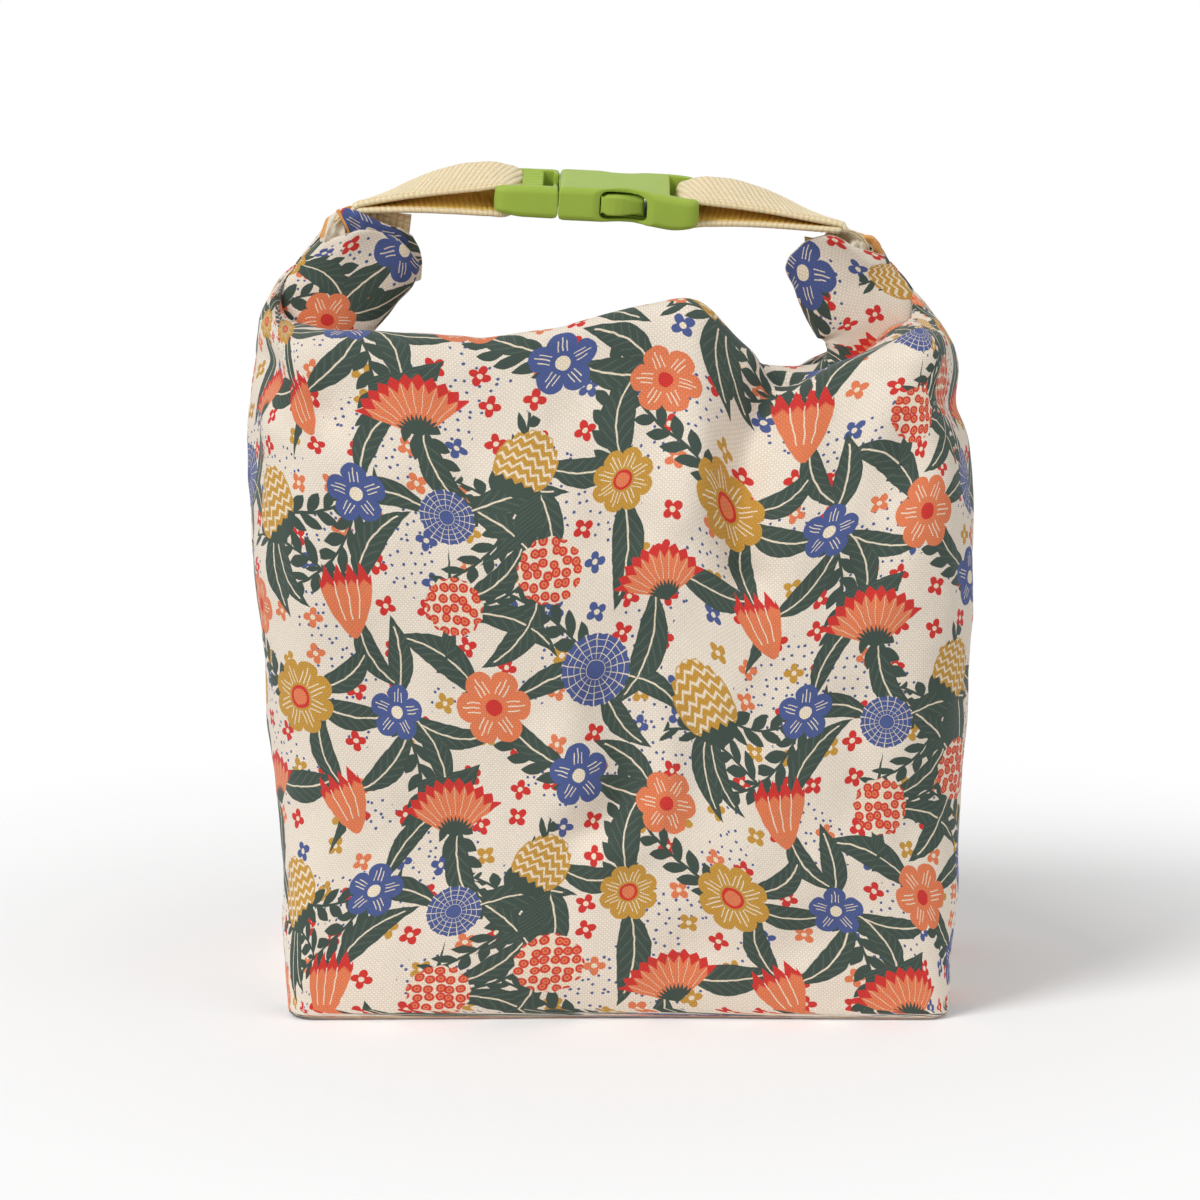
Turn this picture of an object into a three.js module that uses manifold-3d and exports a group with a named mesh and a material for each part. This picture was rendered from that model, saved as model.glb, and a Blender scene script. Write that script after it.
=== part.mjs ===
// Roll-top lunch bag, closed: the mouth is rolled down to the back, and the roll's two ends
// stand up as ears whose webbing loops clip together with a side-release buckle as a handle.
// Millimetres. +X to the right, +Y to the back, +Z up, origin under the middle of the base.
import * as THREE from 'three';
import { mergeVertices } from 'three/addons/utils/BufferGeometryUtils.js';
import Module from 'manifold-3d';

const wasm = await Module();
wasm.setup();

// Body: a boxed base that swells to a belly and leans a little to the left at the top
const BASE_WIDTH = 192;
const BASE_DEPTH = 112;
const BASE_CORNER = 7;
const BELLY_WIDTH = 212;
const BELLY_DEPTH = 122;
const BELLY_HEIGHT = 135;
const BELLY_CORNER = 27;
const PANEL_BULGE = 6;
const TOP_LEAN = 4.5;
const SHOULDER_HEIGHT = 118;

// Top fold of the front panel, and the lower one of the back panel
const FRONT_FOLD_HEIGHT = 200;
const FRONT_FOLD_DEPTH = 37;
const BACK_FOLD_HEIGHT = 190;
const BACK_FOLD_DEPTH = 52;
const FOLD_HALF_WIDTH = 92;
const SIDE_FOLD_HEIGHT = 189;

// Where the panels come to rest against the roll, and how they wrap the foot of each ear
const ROLL_SEAT = 5;
const EAR_WRAP = 11;
const EAR_WRAP_RISE = 9;
const EAR_WRAP_DROP = 8;
const EAR_EASE = 2.5;

// Layers of the wall, from the printed cloth inwards
const CLOTH = 0.9;
const FOAM = 2;
const LINING = 0.6;
const GAP = 0.3;
const FOAM_TOP = 0.9;

// Roll: two plies wound together round the sewn-in strap ends
const ROLL_Y = 12;
const ROLL_HEIGHT = 172;
const ROLL_HALF_HEIGHT = 17.8;
const ROLL_HALF_THICKNESS = 9.5;
const ROLL_STRIP = 1.3;
const ROLL_TURNS = 1.6;
const ROLL_BEND = 20;
const ROLL_CUT = 10;
const EAR_BASE_PINCH = 3;
const EAR_TIP_HALF_HEIGHT = 17.5;

// Each ear: where its bend starts, how far it bends, its straight length and its slanted end
const LEFT_EAR = { start: 70, bend: 118, length: 25, slant: 16 };
const RIGHT_EAR = { start: 58, bend: 125, length: 21, slant: 18 };

// Seam tape that shows at the roll's ends, and how many steps of the spiral it follows
const BINDING_WIDTH = 2.6;
const BINDING_STEPS = 5;

// Webbing and its sewn-in depth in the roll
const STRAP_WIDTH = 25;
const STRAP_THICKNESS = 1.5;
const STRAP_SEAT = 14;
const STRAP_LIFT = 3;
const STRAP_TWIST = 18;
const STRAP_RISE = 6;
const STRAP_TWIST_POWER = 2.2;
const STRAP_PINCH = 0.4;
const STRAP_PINCH_AT = 0.2;
const STRAP_PINCH_REACH = 0.3;

// Buckle, for the webbing above: axis slopes down to the right, and its face leans forward
const BUCKLE_SLOPE = 2.8;
const BUCKLE_LEAN = 5.5;
const BUCKLE_X = -18.6;
const BUCKLE_Z = 235.7;
const BUCKLE_WIDTH = 34;
const BUCKLE_THICKNESS = 10;
const BUCKLE_ROUND = 1.6;
const MALE_LENGTH = 18.8;
const FEMALE_LENGTH = 41.8;
const PARTING = 0.4;
const RAIL = 3.9;
const BAR_LENGTH = 4.6;
const BAR_THICKNESS = 5.4;
const STRAP_SLOT = 3.4;
const BAR_EASE = 0.3;
const RIB_BAR = 6.2;
const RIB_COUNT = 6;
const RIB_DEPTH = 0.5;
const MOUTH_WIDTH = 28.4;
const MOUTH_HEIGHT = 6.6;
const WINDOW_START = 12.4;
const WINDOW_LENGTH = 14;
const WINDOW_HEIGHT = 8;
const PRONG_HEAD = 12.8;
const PRONG_SPREAD = 16.7;
const PRONG_ARM = 2.3;
const PRONG_PIVOT = 9;
const GUIDE_WIDTH = 8;
const GUIDE_LENGTH = 20;

// Mesh resolution of the soft parts
const SIDE_STEPS = 3;
const CORNER_STEPS = 2;
const FRONT_STEPS = 16;
const RISE_STEPS = 8;
const RETURN_STEPS = 3;

const COLOURS = {
  print: 0xd9cbb8,
  lining: 0xe6dccb,
  foam: 0xf2f0ea,
  webbing: 0xeddcb8,
  binding: 0xc98a3c,
  buckle: 0x9cbf52,
};

const bag = new THREE.Group();
bag.name = 'lunch_bag';

const rad = THREE.MathUtils.degToRad;
const lerp = THREE.MathUtils.lerp;

function smooth(t) {
  const c = Math.min(Math.max(t, 0), 1);
  return c * c * (3 - 2 * c);
}

function bump(t) {
  return Math.exp(-t * t);
}

function material(colour, roughness) {
  return new THREE.MeshStandardMaterial({ color: colour, roughness, metalness: 0 });
}

function addMesh(parent, name, geometry, colour, roughness) {
  const mesh = new THREE.Mesh(geometry, material(colour, roughness));
  mesh.name = name;
  parent.add(mesh);
  return mesh;
}

// A closed body from points and triangles, turned so that its faces point out
function closedBody(points, triangles) {
  let volume = 0;
  for (const [a, b, c] of triangles) {
    volume += points[a].dot(new THREE.Vector3().crossVectors(points[b], points[c])) / 6;
  }
  const order = volume < 0 ? [0, 2, 1] : [0, 1, 2];
  const geometry = new THREE.BufferGeometry();
  geometry.setFromPoints(points);
  geometry.setIndex(triangles.flatMap((t) => order.map((k) => t[k])));
  return geometry;
}

// A body through a row of closed rings; the outline is the flat shape of the rings' ends
function loft(rings, outline) {
  const count = rings[0].length;
  const triangles = [];
  for (let i = 0; i + 1 < rings.length; i++) {
    for (let j = 0; j < count; j++) {
      const a = i * count + j;
      const b = i * count + ((j + 1) % count);
      triangles.push([a, b, b + count], [a, b + count, a + count]);
    }
  }
  const last = (rings.length - 1) * count;
  const turn = THREE.ShapeUtils.area(outline);
  for (const face of THREE.ShapeUtils.triangulateShape(outline, [])) {
    const agrees = THREE.ShapeUtils.area(face.map((k) => outline[k])) * turn > 0;
    const [a, b, c] = agrees ? face : [...face].reverse();
    triangles.push([c, b, a], [last + a, last + b, last + c]);
  }
  return closedBody(rings.flat(), triangles);
}

// A sheet with thickness between two grids of points, closed round its edge
function sheetBody(outer, inner) {
  const rows = outer.length;
  const columns = outer[0].length;
  const at = (layer, i, j) => (layer * rows + i) * columns + j;
  const triangles = [];
  for (let i = 0; i + 1 < rows; i++) {
    for (let j = 0; j + 1 < columns; j++) {
      const [a, b, c, d] = [[i, j], [i, j + 1], [i + 1, j + 1], [i + 1, j]];
      triangles.push([at(0, ...a), at(0, ...b), at(0, ...c)], [at(0, ...a), at(0, ...c), at(0, ...d)]);
      triangles.push([at(1, ...c), at(1, ...b), at(1, ...a)], [at(1, ...d), at(1, ...c), at(1, ...a)]);
    }
  }
  const rim = [];
  for (let j = 0; j < columns; j++) rim.push([0, j]);
  for (let i = 1; i < rows; i++) rim.push([i, columns - 1]);
  for (let j = columns - 2; j >= 0; j--) rim.push([rows - 1, j]);
  for (let i = rows - 2; i > 0; i--) rim.push([i, 0]);
  for (let k = 0; k < rim.length; k++) {
    const a = rim[k];
    const b = rim[(k + 1) % rim.length];
    triangles.push([at(0, ...b), at(0, ...a), at(1, ...a)], [at(0, ...b), at(1, ...a), at(1, ...b)]);
  }
  return closedBody([...outer.flat(), ...inner.flat()], triangles);
}

// Roll section

// Flat spiral section of the roll: height along u, thickness along v, for a full-size roll of 1 by 1
function spiralOutline() {
  const steps = 26;
  const end = 3 * Math.PI;
  const start = end - 2 * Math.PI * ROLL_TURNS;
  const strip = ROLL_STRIP / 2;
  const centre = (k) => {
    const angle = lerp(start, end, k);
    const height = lerp(STRAP_WIDTH / 2 + 3 * GAP + strip, ROLL_HALF_HEIGHT - strip, k);
    const thick = lerp(STRAP_THICKNESS + GAP + strip + 1.1, ROLL_HALF_THICKNESS - strip, k);
    const power = lerp(0.42, 0.8, k);
    const round = (v) => Math.sign(v) * Math.abs(v) ** power;
    return new THREE.Vector2(height * round(Math.cos(angle)), thick * round(Math.sin(angle)));
  };
  const sides = [[], []];
  for (let i = 0; i <= steps; i++) {
    const k = i / steps;
    const tangent = centre(Math.min(k + 0.004, 1)).sub(centre(Math.max(k - 0.004, 0))).normalize();
    const normal = new THREE.Vector2(-tangent.y, tangent.x);
    sides[0].push(centre(k).addScaledVector(normal, strip));
    sides[1].push(centre(k).addScaledVector(normal, -strip));
  }
  return [...sides[0], ...sides[1].reverse()];
}

const SPIRAL = spiralOutline();

// How far the roll's surface stands from its middle plane at a height up its section
function rollSurface(face, height) {
  let reach = 0;
  SPIRAL.forEach((a, i) => {
    const b = SPIRAL[(i + 1) % SPIRAL.length];
    if ((a.x - height) * (b.x - height) > 0 || a.x === b.x) return;
    reach = Math.max(reach, face * lerp(a.y, b.y, (height - a.x) / (b.x - a.x)));
  });
  return reach;
}

// Body shape

function bodyHalfWidth(z) {
  const t = Math.min(z / BELLY_HEIGHT, 1);
  return BASE_WIDTH / 2 + ((BELLY_WIDTH - BASE_WIDTH) / 2) * (1 - (1 - t) ** 2);
}

function bodyHalfDepth(z) {
  const t = Math.min(z / (1.6 * BELLY_HEIGHT), 1);
  return BASE_DEPTH / 2 + ((BELLY_DEPTH - BASE_DEPTH) / 2) * Math.sin(Math.PI * t);
}

function cornerRadius(z) {
  return lerp(BASE_CORNER, BELLY_CORNER, smooth(z / 70));
}

function leanAt(z) {
  return -TOP_LEAN * Math.pow(z / SIDE_FOLD_HEIGHT, 1.5);
}

function seamY(z) {
  return ROLL_Y * smooth(z / SIDE_FOLD_HEIGHT);
}

// Waves of a panel's top fold: place, reach to the left and to the right, and height
const FRONT_WAVES = [
  { x: 14, left: 24, right: 17, height: 10.5 },
  { x: 54, left: 15, right: 15, height: -12 },
  { x: -41, left: 9, right: 9, height: -2 },
];
const BACK_WAVES = [{ x: 10, left: 40, right: 40, height: -5 }];

function waveHeight(waves, x) {
  return waves.reduce((sum, w) => sum + w.height * bump((x - w.x) / (x < w.x ? w.left : w.right)), 0);
}

function frontFoldHeight(x) {
  return FRONT_FOLD_HEIGHT + waveHeight(FRONT_WAVES, x);
}

function backFoldHeight(x) {
  return BACK_FOLD_HEIGHT + waveHeight(BACK_WAVES, x);
}

// Soft hollows of a panel: x, z, half width, half height and depth, less than nothing for a ridge
const FRONT_HOLLOWS = [
  [46, 178, 9, 18, 7],
  [34, 152, 9, 22, 7],
  [20, 172, 10, 28, -4],
  [-2, 80, 15, 20, 4],
  [-60, 150, 26, 22, 2],
];

const BACK_HOLLOWS = [
  [-20, 120, 34, 30, 5],
  [45, 165, 16, 26, 4],
];

function hollowDepth(hollows, x, z) {
  return hollows.reduce((sum, [hx, hz, w, h, d]) => sum + d * bump((x - hx) / w) * bump((z - hz) / h), 0);
}

// Columns of a half wall: part of the ring and how far along it
function wallColumns() {
  const columns = [];
  for (let i = 0; i < SIDE_STEPS; i++) columns.push({ part: 'side', t: i / SIDE_STEPS });
  for (let i = 0; i < CORNER_STEPS; i++) columns.push({ part: 'corner', t: i / CORNER_STEPS });
  const left = columns.map((c) => ({ ...c, hand: -1 }));
  const right = columns.map((c) => ({ ...c, hand: 1 })).reverse();
  const middle = [];
  for (let i = 0; i <= FRONT_STEPS; i++) {
    middle.push({ part: 'panel', t: (2 * i) / FRONT_STEPS - 1, hand: Math.sign(i - FRONT_STEPS / 2) || 1 });
  }
  return [...left, ...middle, ...right];
}

// Point of the wall's ring at a height; face is -1 for the front half and 1 for the back half
function ringPoint(face, column, z) {
  const a = bodyHalfWidth(z);
  const b = bodyHalfDepth(z);
  const r = cornerRadius(z);
  const seam = face * seamY(z);
  const lean = leanAt(z);
  if (column.part === 'side') return [column.hand * a + lean, face * lerp(seam, b - r, column.t)];
  if (column.part === 'corner') {
    const angle = (column.t * Math.PI) / 2;
    return [column.hand * (a - r + r * Math.cos(angle)) + lean, face * (b - r + r * Math.sin(angle))];
  }
  const up = Math.min(z / SHOULDER_HEIGHT, 1) ** 0.8;
  const swell = PANEL_BULGE * (1 - column.t ** 2) * Math.sin(Math.PI * up);
  return [column.t * (a - r) + lean, face * (b + swell)];
}

// How far round the corner a side or corner column lies, from the side seam to the panel
function roundness(column) {
  const step = column.part === 'side' ? column.t * SIDE_STEPS : SIDE_STEPS + column.t * CORNER_STEPS;
  return (step / (SIDE_STEPS + CORNER_STEPS)) * (Math.PI / 2);
}

// Top fold of a column
function foldPoint(face, column) {
  const depth = face < 0 ? FRONT_FOLD_DEPTH : BACK_FOLD_DEPTH;
  const height = face < 0 ? frontFoldHeight : backFoldHeight;
  const lean = leanAt(FRONT_FOLD_HEIGHT);
  if (column.part === 'panel') {
    const x = column.t * FOLD_HALF_WIDTH + lean / 2;
    return new THREE.Vector3(x, face * depth, height(x));
  }
  const angle = roundness(column);
  const reach = bodyHalfWidth(SIDE_FOLD_HEIGHT) - FOLD_HALF_WIDTH;
  const x = column.hand * (FOLD_HALF_WIDTH + (reach - column.hand * 1.5) * Math.cos(angle)) + lean / 2;
  const corner = height(column.hand * FOLD_HALF_WIDTH + lean / 2);
  const y = lerp(ROLL_Y, face * depth, Math.sin(angle));
  return new THREE.Vector3(x, y, lerp(SIDE_FOLD_HEIGHT, corner, smooth(angle / (Math.PI / 2))));
}

function earHand(hand) {
  return hand < 0 ? LEFT_EAR : RIGHT_EAR;
}

// Where a column ends against the roll or the ear that it wraps
function endPoint(face, column) {
  const clear = rollSurface(face, 0) + CLOTH + 2 * GAP;
  const seatClear = rollSurface(face, ROLL_SEAT - ROLL_HALF_HEIGHT) + 2 * GAP;
  const bottom = ROLL_HEIGHT - ROLL_HALF_HEIGHT + ROLL_SEAT;
  const ear = earHand(column.hand);
  const outer = ear.start + ROLL_BEND + ROLL_HALF_HEIGHT - EAR_BASE_PINCH;
  const shoulder = outer - EAR_WRAP;
  const top = SIDE_FOLD_HEIGHT + EAR_WRAP_RISE;
  if (column.part === 'panel') {
    const x = Math.abs(column.t) * shoulder;
    const rise = smooth((x - 0.6 * shoulder) / (0.4 * shoulder));
    const y = ROLL_Y + face * lerp(seatClear, clear, smooth(4 * rise));
    return new THREE.Vector3(column.hand * x, y, lerp(bottom, top - EAR_WRAP_DROP, rise));
  }
  const angle = roundness(column);
  const x = column.hand * (shoulder + (outer + EAR_EASE - shoulder) * Math.cos(angle));
  const drop = EAR_WRAP_DROP * smooth(angle / (Math.PI / 2));
  return new THREE.Vector3(x, ROLL_Y + face * clear * Math.sin(angle), top - drop);
}

function wallPoint(face, column, row) {
  const fold = foldPoint(face, column);
  if (row <= RISE_STEPS) {
    const z = fold.z * Math.pow(row / RISE_STEPS, 0.92);
    const [x, y] = ringPoint(face, column, z);
    const q = Math.pow(smooth((z - SHOULDER_HEIGHT) / (fold.z - SHOULDER_HEIGHT)), 1.4);
    const hollows = face < 0 ? FRONT_HOLLOWS : BACK_HOLLOWS;
    const hollow = column.part === 'panel' ? hollowDepth(hollows, x, z) * (1 - q) : 0;
    return new THREE.Vector3(lerp(x, fold.x, q), lerp(y, fold.y, q) - face * hollow, z);
  }
  const t = (row - RISE_STEPS) / RETURN_STEPS;
  const end = endPoint(face, column);
  const crest = Math.max(fold.z, end.z) + 1.5;
  const over = new THREE.Vector3(lerp(fold.x, end.x, 0.4), lerp(fold.y, end.y, 0.62), crest);
  return new THREE.QuadraticBezierCurve3(fold, over, end).getPoint(t);
}

// Grid of the wall's outer surface, and the unit normals that point out of the bag
function wallGrid(face) {
  const columns = wallColumns();
  const grid = [];
  for (let row = 0; row <= RISE_STEPS + RETURN_STEPS; row++) {
    grid.push(columns.map((column) => wallPoint(face, column, row)));
  }
  return grid;
}

function gridNormals(grid, face) {
  return grid.map((line, i) => line.map((_, j) => {
    const up = grid[Math.min(i + 1, grid.length - 1)][j].clone().sub(grid[Math.max(i - 1, 0)][j]);
    const along = line[Math.min(j + 1, line.length - 1)].clone().sub(line[Math.max(j - 1, 0)]);
    const normal = along.cross(up).multiplyScalar(-face).normalize();
    if (j === 0 || j === line.length - 1) normal.setY(0).normalize();
    return normal;
  }));
}

// One layer of a half wall, from one depth under the outer surface to another
function wallLayer(face, from, to, topRow) {
  const grid = wallGrid(face).slice(0, topRow + 1);
  const normals = gridNormals(wallGrid(face), face);
  const bottom = CLOTH + GAP;
  const moved = (depth) => grid.map((line, i) => line.map((p, j) => {
    const q = p.clone().addScaledVector(normals[i][j], -depth);
    if (i === 0) q.z = bottom;
    if (j === 0 || j === line.length - 1) q.y += (face * GAP) / 2;
    return q;
  }));
  return sheetBody(moved(from), moved(to));
}

// Flat panel of the base, inset from the outline of the walls
function basePanel(inset, from, thickness) {
  const halfWidth = BASE_WIDTH / 2 - inset;
  const halfDepth = BASE_DEPTH / 2 - inset;
  const r = Math.max(BASE_CORNER - inset, 1);
  const shape = new THREE.Shape();
  shape.moveTo(-halfWidth + r, -halfDepth);
  shape.lineTo(halfWidth - r, -halfDepth);
  shape.absarc(halfWidth - r, -halfDepth + r, r, -Math.PI / 2, 0);
  shape.absarc(halfWidth - r, halfDepth - r, r, 0, Math.PI / 2);
  shape.absarc(-halfWidth + r, halfDepth - r, r, Math.PI / 2, Math.PI);
  shape.absarc(-halfWidth + r, -halfDepth + r, r, Math.PI, 1.5 * Math.PI);
  const settings = { depth: thickness, bevelEnabled: false, curveSegments: 4 };
  return new THREE.ExtrudeGeometry(shape, settings).translate(0, 0, from);
}

// Rolled mouth

// Centre, direction towards the outer side and scale of the roll's section, s mm from the bend's start
function earSection(hand, s) {
  const ear = earHand(hand);
  const arc = ROLL_BEND * rad(ear.bend);
  const turned = Math.min(Math.max(s / ROLL_BEND, 0), rad(ear.bend));
  const straight = Math.max(s - arc, 0);
  const heading = new THREE.Vector2(Math.cos(turned), Math.sin(turned));
  const centre = new THREE.Vector2(
    ear.start + ROLL_BEND * Math.sin(turned) + Math.min(s, 0) + straight * heading.x,
    ROLL_HEIGHT + ROLL_BEND * (1 - Math.cos(turned)) + straight * heading.y,
  );
  const relax = rad(ear.slant) * smooth(straight / ear.length);
  const outward = new THREE.Vector2(Math.sin(turned - relax), -Math.cos(turned - relax));
  const pinch = EAR_BASE_PINCH * bump((turned - 1.5) / 0.7) * (straight > 0 ? 1 - smooth(straight / 8) : 1);
  const flare = smooth((straight / ear.length - 0.4) / 0.6);
  const half = lerp(ROLL_HALF_HEIGHT - pinch, EAR_TIP_HALF_HEIGHT, flare);
  return {
    centre: new THREE.Vector3(hand * centre.x, ROLL_Y, centre.y),
    outward: new THREE.Vector3(hand * outward.x, 0, outward.y),
    heading: new THREE.Vector3(hand * heading.x, 0, heading.y),
    scale: half / ROLL_HALF_HEIGHT,
  };
}

function earEnd(hand) {
  const ear = earHand(hand);
  return ROLL_BEND * rad(ear.bend) + ear.length;
}

function rollRing(section) {
  return SPIRAL.map((p) => section.centre.clone()
    .addScaledVector(section.outward, -p.x * section.scale)
    .setY(ROLL_Y + p.y));
}

// Straight middle of the roll, between the two bends
function rollMiddle() {
  const ends = [-LEFT_EAR.start + ROLL_CUT, RIGHT_EAR.start - ROLL_CUT];
  const steps = 4;
  const rings = [];
  for (let i = 0; i <= steps; i++) {
    const centre = new THREE.Vector3(lerp(ends[0], ends[1], i / steps), ROLL_Y, ROLL_HEIGHT);
    rings.push(rollRing({ centre, outward: new THREE.Vector3(0, 0, -1), scale: 1 }));
  }
  return loft(rings, SPIRAL);
}

// One end of the roll, from the cut near the bend's start to the open end of the ear
function rollEnd(hand) {
  const steps = 9;
  const rings = [];
  for (let i = 0; i <= steps; i++) {
    rings.push(rollRing(earSection(hand, lerp(GAP - ROLL_CUT, earEnd(hand), i / steps))));
  }
  return loft(rings, SPIRAL);
}

// Straps

// Buckle frame: a point given along the buckle's axis, across it and through it
const slope = rad(BUCKLE_SLOPE);
const leanBack = rad(BUCKLE_LEAN);
const buckleMatrix = new THREE.Matrix4()
  .makeTranslation(BUCKLE_X, ROLL_Y, BUCKLE_Z)
  .multiply(new THREE.Matrix4().makeRotationY(slope))
  .multiply(new THREE.Matrix4().makeRotationX(leanBack));

function bucklePoint(x, y, z) {
  return new THREE.Vector3(x, y, z).applyMatrix4(buckleMatrix);
}

function buckleDirection(x, y, z) {
  return new THREE.Vector3(x, y, z).transformDirection(buckleMatrix);
}

const MALE_BAR = -MALE_LENGTH + BAR_LENGTH / 2;
const FEMALE_BAR = FEMALE_LENGTH - BAR_LENGTH / 2;

// Middle line of the doubled strap from inside the roll to the buckle's bar, with its width
// direction, its facing and how far the two layers lie apart
function strapLine(hand) {
  const bar = hand < 0 ? MALE_BAR : FEMALE_BAR;
  const tip = earSection(hand, earEnd(hand));
  const rise = tip.heading;
  const inward = new THREE.Vector3(-hand, 0, 0);
  const towards = buckleDirection(-hand, 0, 0);
  const exit = tip.centre.clone().addScaledVector(rise, STRAP_LIFT);
  const barEnd = bucklePoint(bar - hand * BAR_EASE, 0, 0);
  const turned = exit.clone().addScaledVector(inward, STRAP_TWIST);
  turned.z = exit.z + STRAP_RISE;
  const close = STRAP_THICKNESS + 2 * GAP;
  const open = BAR_THICKNESS + STRAP_THICKNESS + 2 * GAP;
  const line = [];
  const tipWidth = new THREE.Vector3(0, -hand, 0).cross(rise);
  for (let i = 0; i <= 4; i++) {
    const station = earSection(hand, earEnd(hand) - STRAP_SEAT * (1 - i / 4));
    line.push({ centre: station.centre, width: station.outward.clone().negate(), apart: close, narrow: 1 });
  }
  line.push({ centre: exit, width: tipWidth, apart: close, narrow: 1 - STRAP_PINCH / 2 });
  const twist = new THREE.CubicBezierCurve3(
    exit,
    exit.clone().addScaledVector(rise, 0.7 * STRAP_RISE),
    turned.clone().addScaledVector(towards, -0.5 * STRAP_TWIST),
    turned,
  );
  const flat = buckleDirection(0, 1, 0);
  const steps = 8;
  for (let i = 1; i <= steps; i++) {
    const t = i / steps;
    const angle = (1 - (1 - t) ** STRAP_TWIST_POWER) * (Math.PI / 2);
    const width = tipWidth.clone().multiplyScalar(Math.cos(angle)).addScaledVector(flat, Math.sin(angle));
    const narrow = 1 - STRAP_PINCH * bump((t - STRAP_PINCH_AT) / STRAP_PINCH_REACH);
    line.push({ centre: twist.getPoint(t), width, apart: close, narrow });
  }
  const run = new THREE.CubicBezierCurve3(
    turned,
    turned.clone().addScaledVector(towards, 12),
    barEnd.clone().addScaledVector(towards, -10),
    barEnd,
  );
  for (let i = 1; i <= 6; i++) {
    const t = i / 6;
    line.push({ centre: run.getPoint(t), width: flat, apart: lerp(close, open, t ** 0.8), narrow: 1 });
  }
  return line;
}

// The strap as one band: along the lower layer, round the bar and back along the upper layer
function strapBand(hand) {
  const line = strapLine(hand);
  const stations = line.map((s, i) => {
    const before = line[Math.max(i - 1, 0)].centre;
    const after = line[Math.min(i + 1, line.length - 1)].centre;
    const along = after.clone().sub(before).normalize();
    const width = s.width.clone().addScaledVector(along, -s.width.dot(along)).normalize();
    const facing = along.clone().cross(width).multiplyScalar(-hand).normalize();
    return { ...s, along, width, facing };
  });
  const band = stations.map((s) => ({
    centre: s.centre.clone().addScaledVector(s.facing, -s.apart / 2),
    width: s.width,
    facing: s.facing,
    narrow: s.narrow,
  }));
  const last = stations[stations.length - 1];
  const radius = last.apart / 2;
  const turns = 6;
  for (let i = 1; i < turns; i++) {
    const angle = (Math.PI * i) / turns;
    const outward = last.facing.clone().multiplyScalar(-Math.cos(angle));
    outward.addScaledVector(last.along, Math.sin(angle));
    const centre = last.centre.clone().addScaledVector(outward, radius);
    band.push({ centre, width: last.width, facing: outward.negate(), narrow: 1 });
  }
  for (const s of [...stations].reverse()) {
    band.push({
      centre: s.centre.clone().addScaledVector(s.facing, s.apart / 2),
      width: s.width,
      facing: s.facing.clone().negate(),
      narrow: s.narrow,
    });
  }
  return band;
}

const STRAP_SECTION = [
  [-0.5, -0.25], [-0.47, -0.5], [0.47, -0.5], [0.5, -0.25],
  [0.5, 0.25], [0.47, 0.5], [-0.47, 0.5], [-0.5, 0.25],
].map(([u, v]) => new THREE.Vector2(u * STRAP_WIDTH, v * STRAP_THICKNESS));

function strap(hand) {
  const rings = strapBand(hand).map((s) => STRAP_SECTION.map((p) => s.centre.clone()
    .addScaledVector(s.width, p.x * s.narrow)
    .addScaledVector(s.facing, p.y)));
  return loft(rings, STRAP_SECTION);
}

// Buckle

function toSolid(geometry) {
  const plain = new THREE.BufferGeometry();
  plain.setAttribute('position', geometry.getAttribute('position'));
  if (geometry.index) plain.setIndex(geometry.index);
  const merged = mergeVertices(plain, 1e-4);
  return new wasm.Manifold(new wasm.Mesh({
    numProp: 3,
    vertProperties: new Float32Array(merged.getAttribute('position').array),
    triVerts: new Uint32Array(merged.index.array),
  }));
}

function fromSolid(solid) {
  const mesh = solid.getMesh();
  const geometry = new THREE.BufferGeometry();
  geometry.setAttribute('position', new THREE.BufferAttribute(mesh.vertProperties, 3));
  geometry.setIndex(new THREE.BufferAttribute(mesh.triVerts, 1));
  return geometry;
}

function box(x0, x1, y0, y1, z0, z1) {
  const geometry = new THREE.BoxGeometry(x1 - x0, y1 - y0, z1 - z0);
  return toSolid(geometry.translate((x0 + x1) / 2, (y0 + y1) / 2, (z0 + z1) / 2));
}

// A plate with softened edges, its flat outline in X and Y and its middle at z
function plate(shape, thickness, round, z = 0, curveSegments = 5) {
  const geometry = new THREE.ExtrudeGeometry(shape, {
    depth: thickness - 2 * round,
    bevelEnabled: true,
    bevelThickness: round,
    bevelSize: round,
    bevelOffset: -round,
    bevelSegments: 2,
    curveSegments,
  });
  return toSolid(geometry.translate(0, 0, z - thickness / 2 + round));
}

// A bar across the buckle with a rounded section
function crossBar(x, length, thickness, width) {
  const shape = new THREE.Shape();
  const a = length / 2;
  const b = thickness / 2;
  const r = Math.min(a, b) * 0.8;
  shape.moveTo(-a + r, -b);
  shape.lineTo(a - r, -b);
  shape.absarc(a - r, -b + r, r, -Math.PI / 2, 0);
  shape.absarc(a - r, b - r, r, 0, Math.PI / 2);
  shape.absarc(-a + r, b - r, r, Math.PI / 2, Math.PI);
  shape.absarc(-a + r, -b + r, r, Math.PI, 1.5 * Math.PI);
  const geometry = new THREE.ExtrudeGeometry(shape, { depth: width, bevelEnabled: false, curveSegments: 3 });
  geometry.rotateX(Math.PI / 2).translate(x, width / 2, 0);
  return toSolid(geometry);
}

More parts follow.
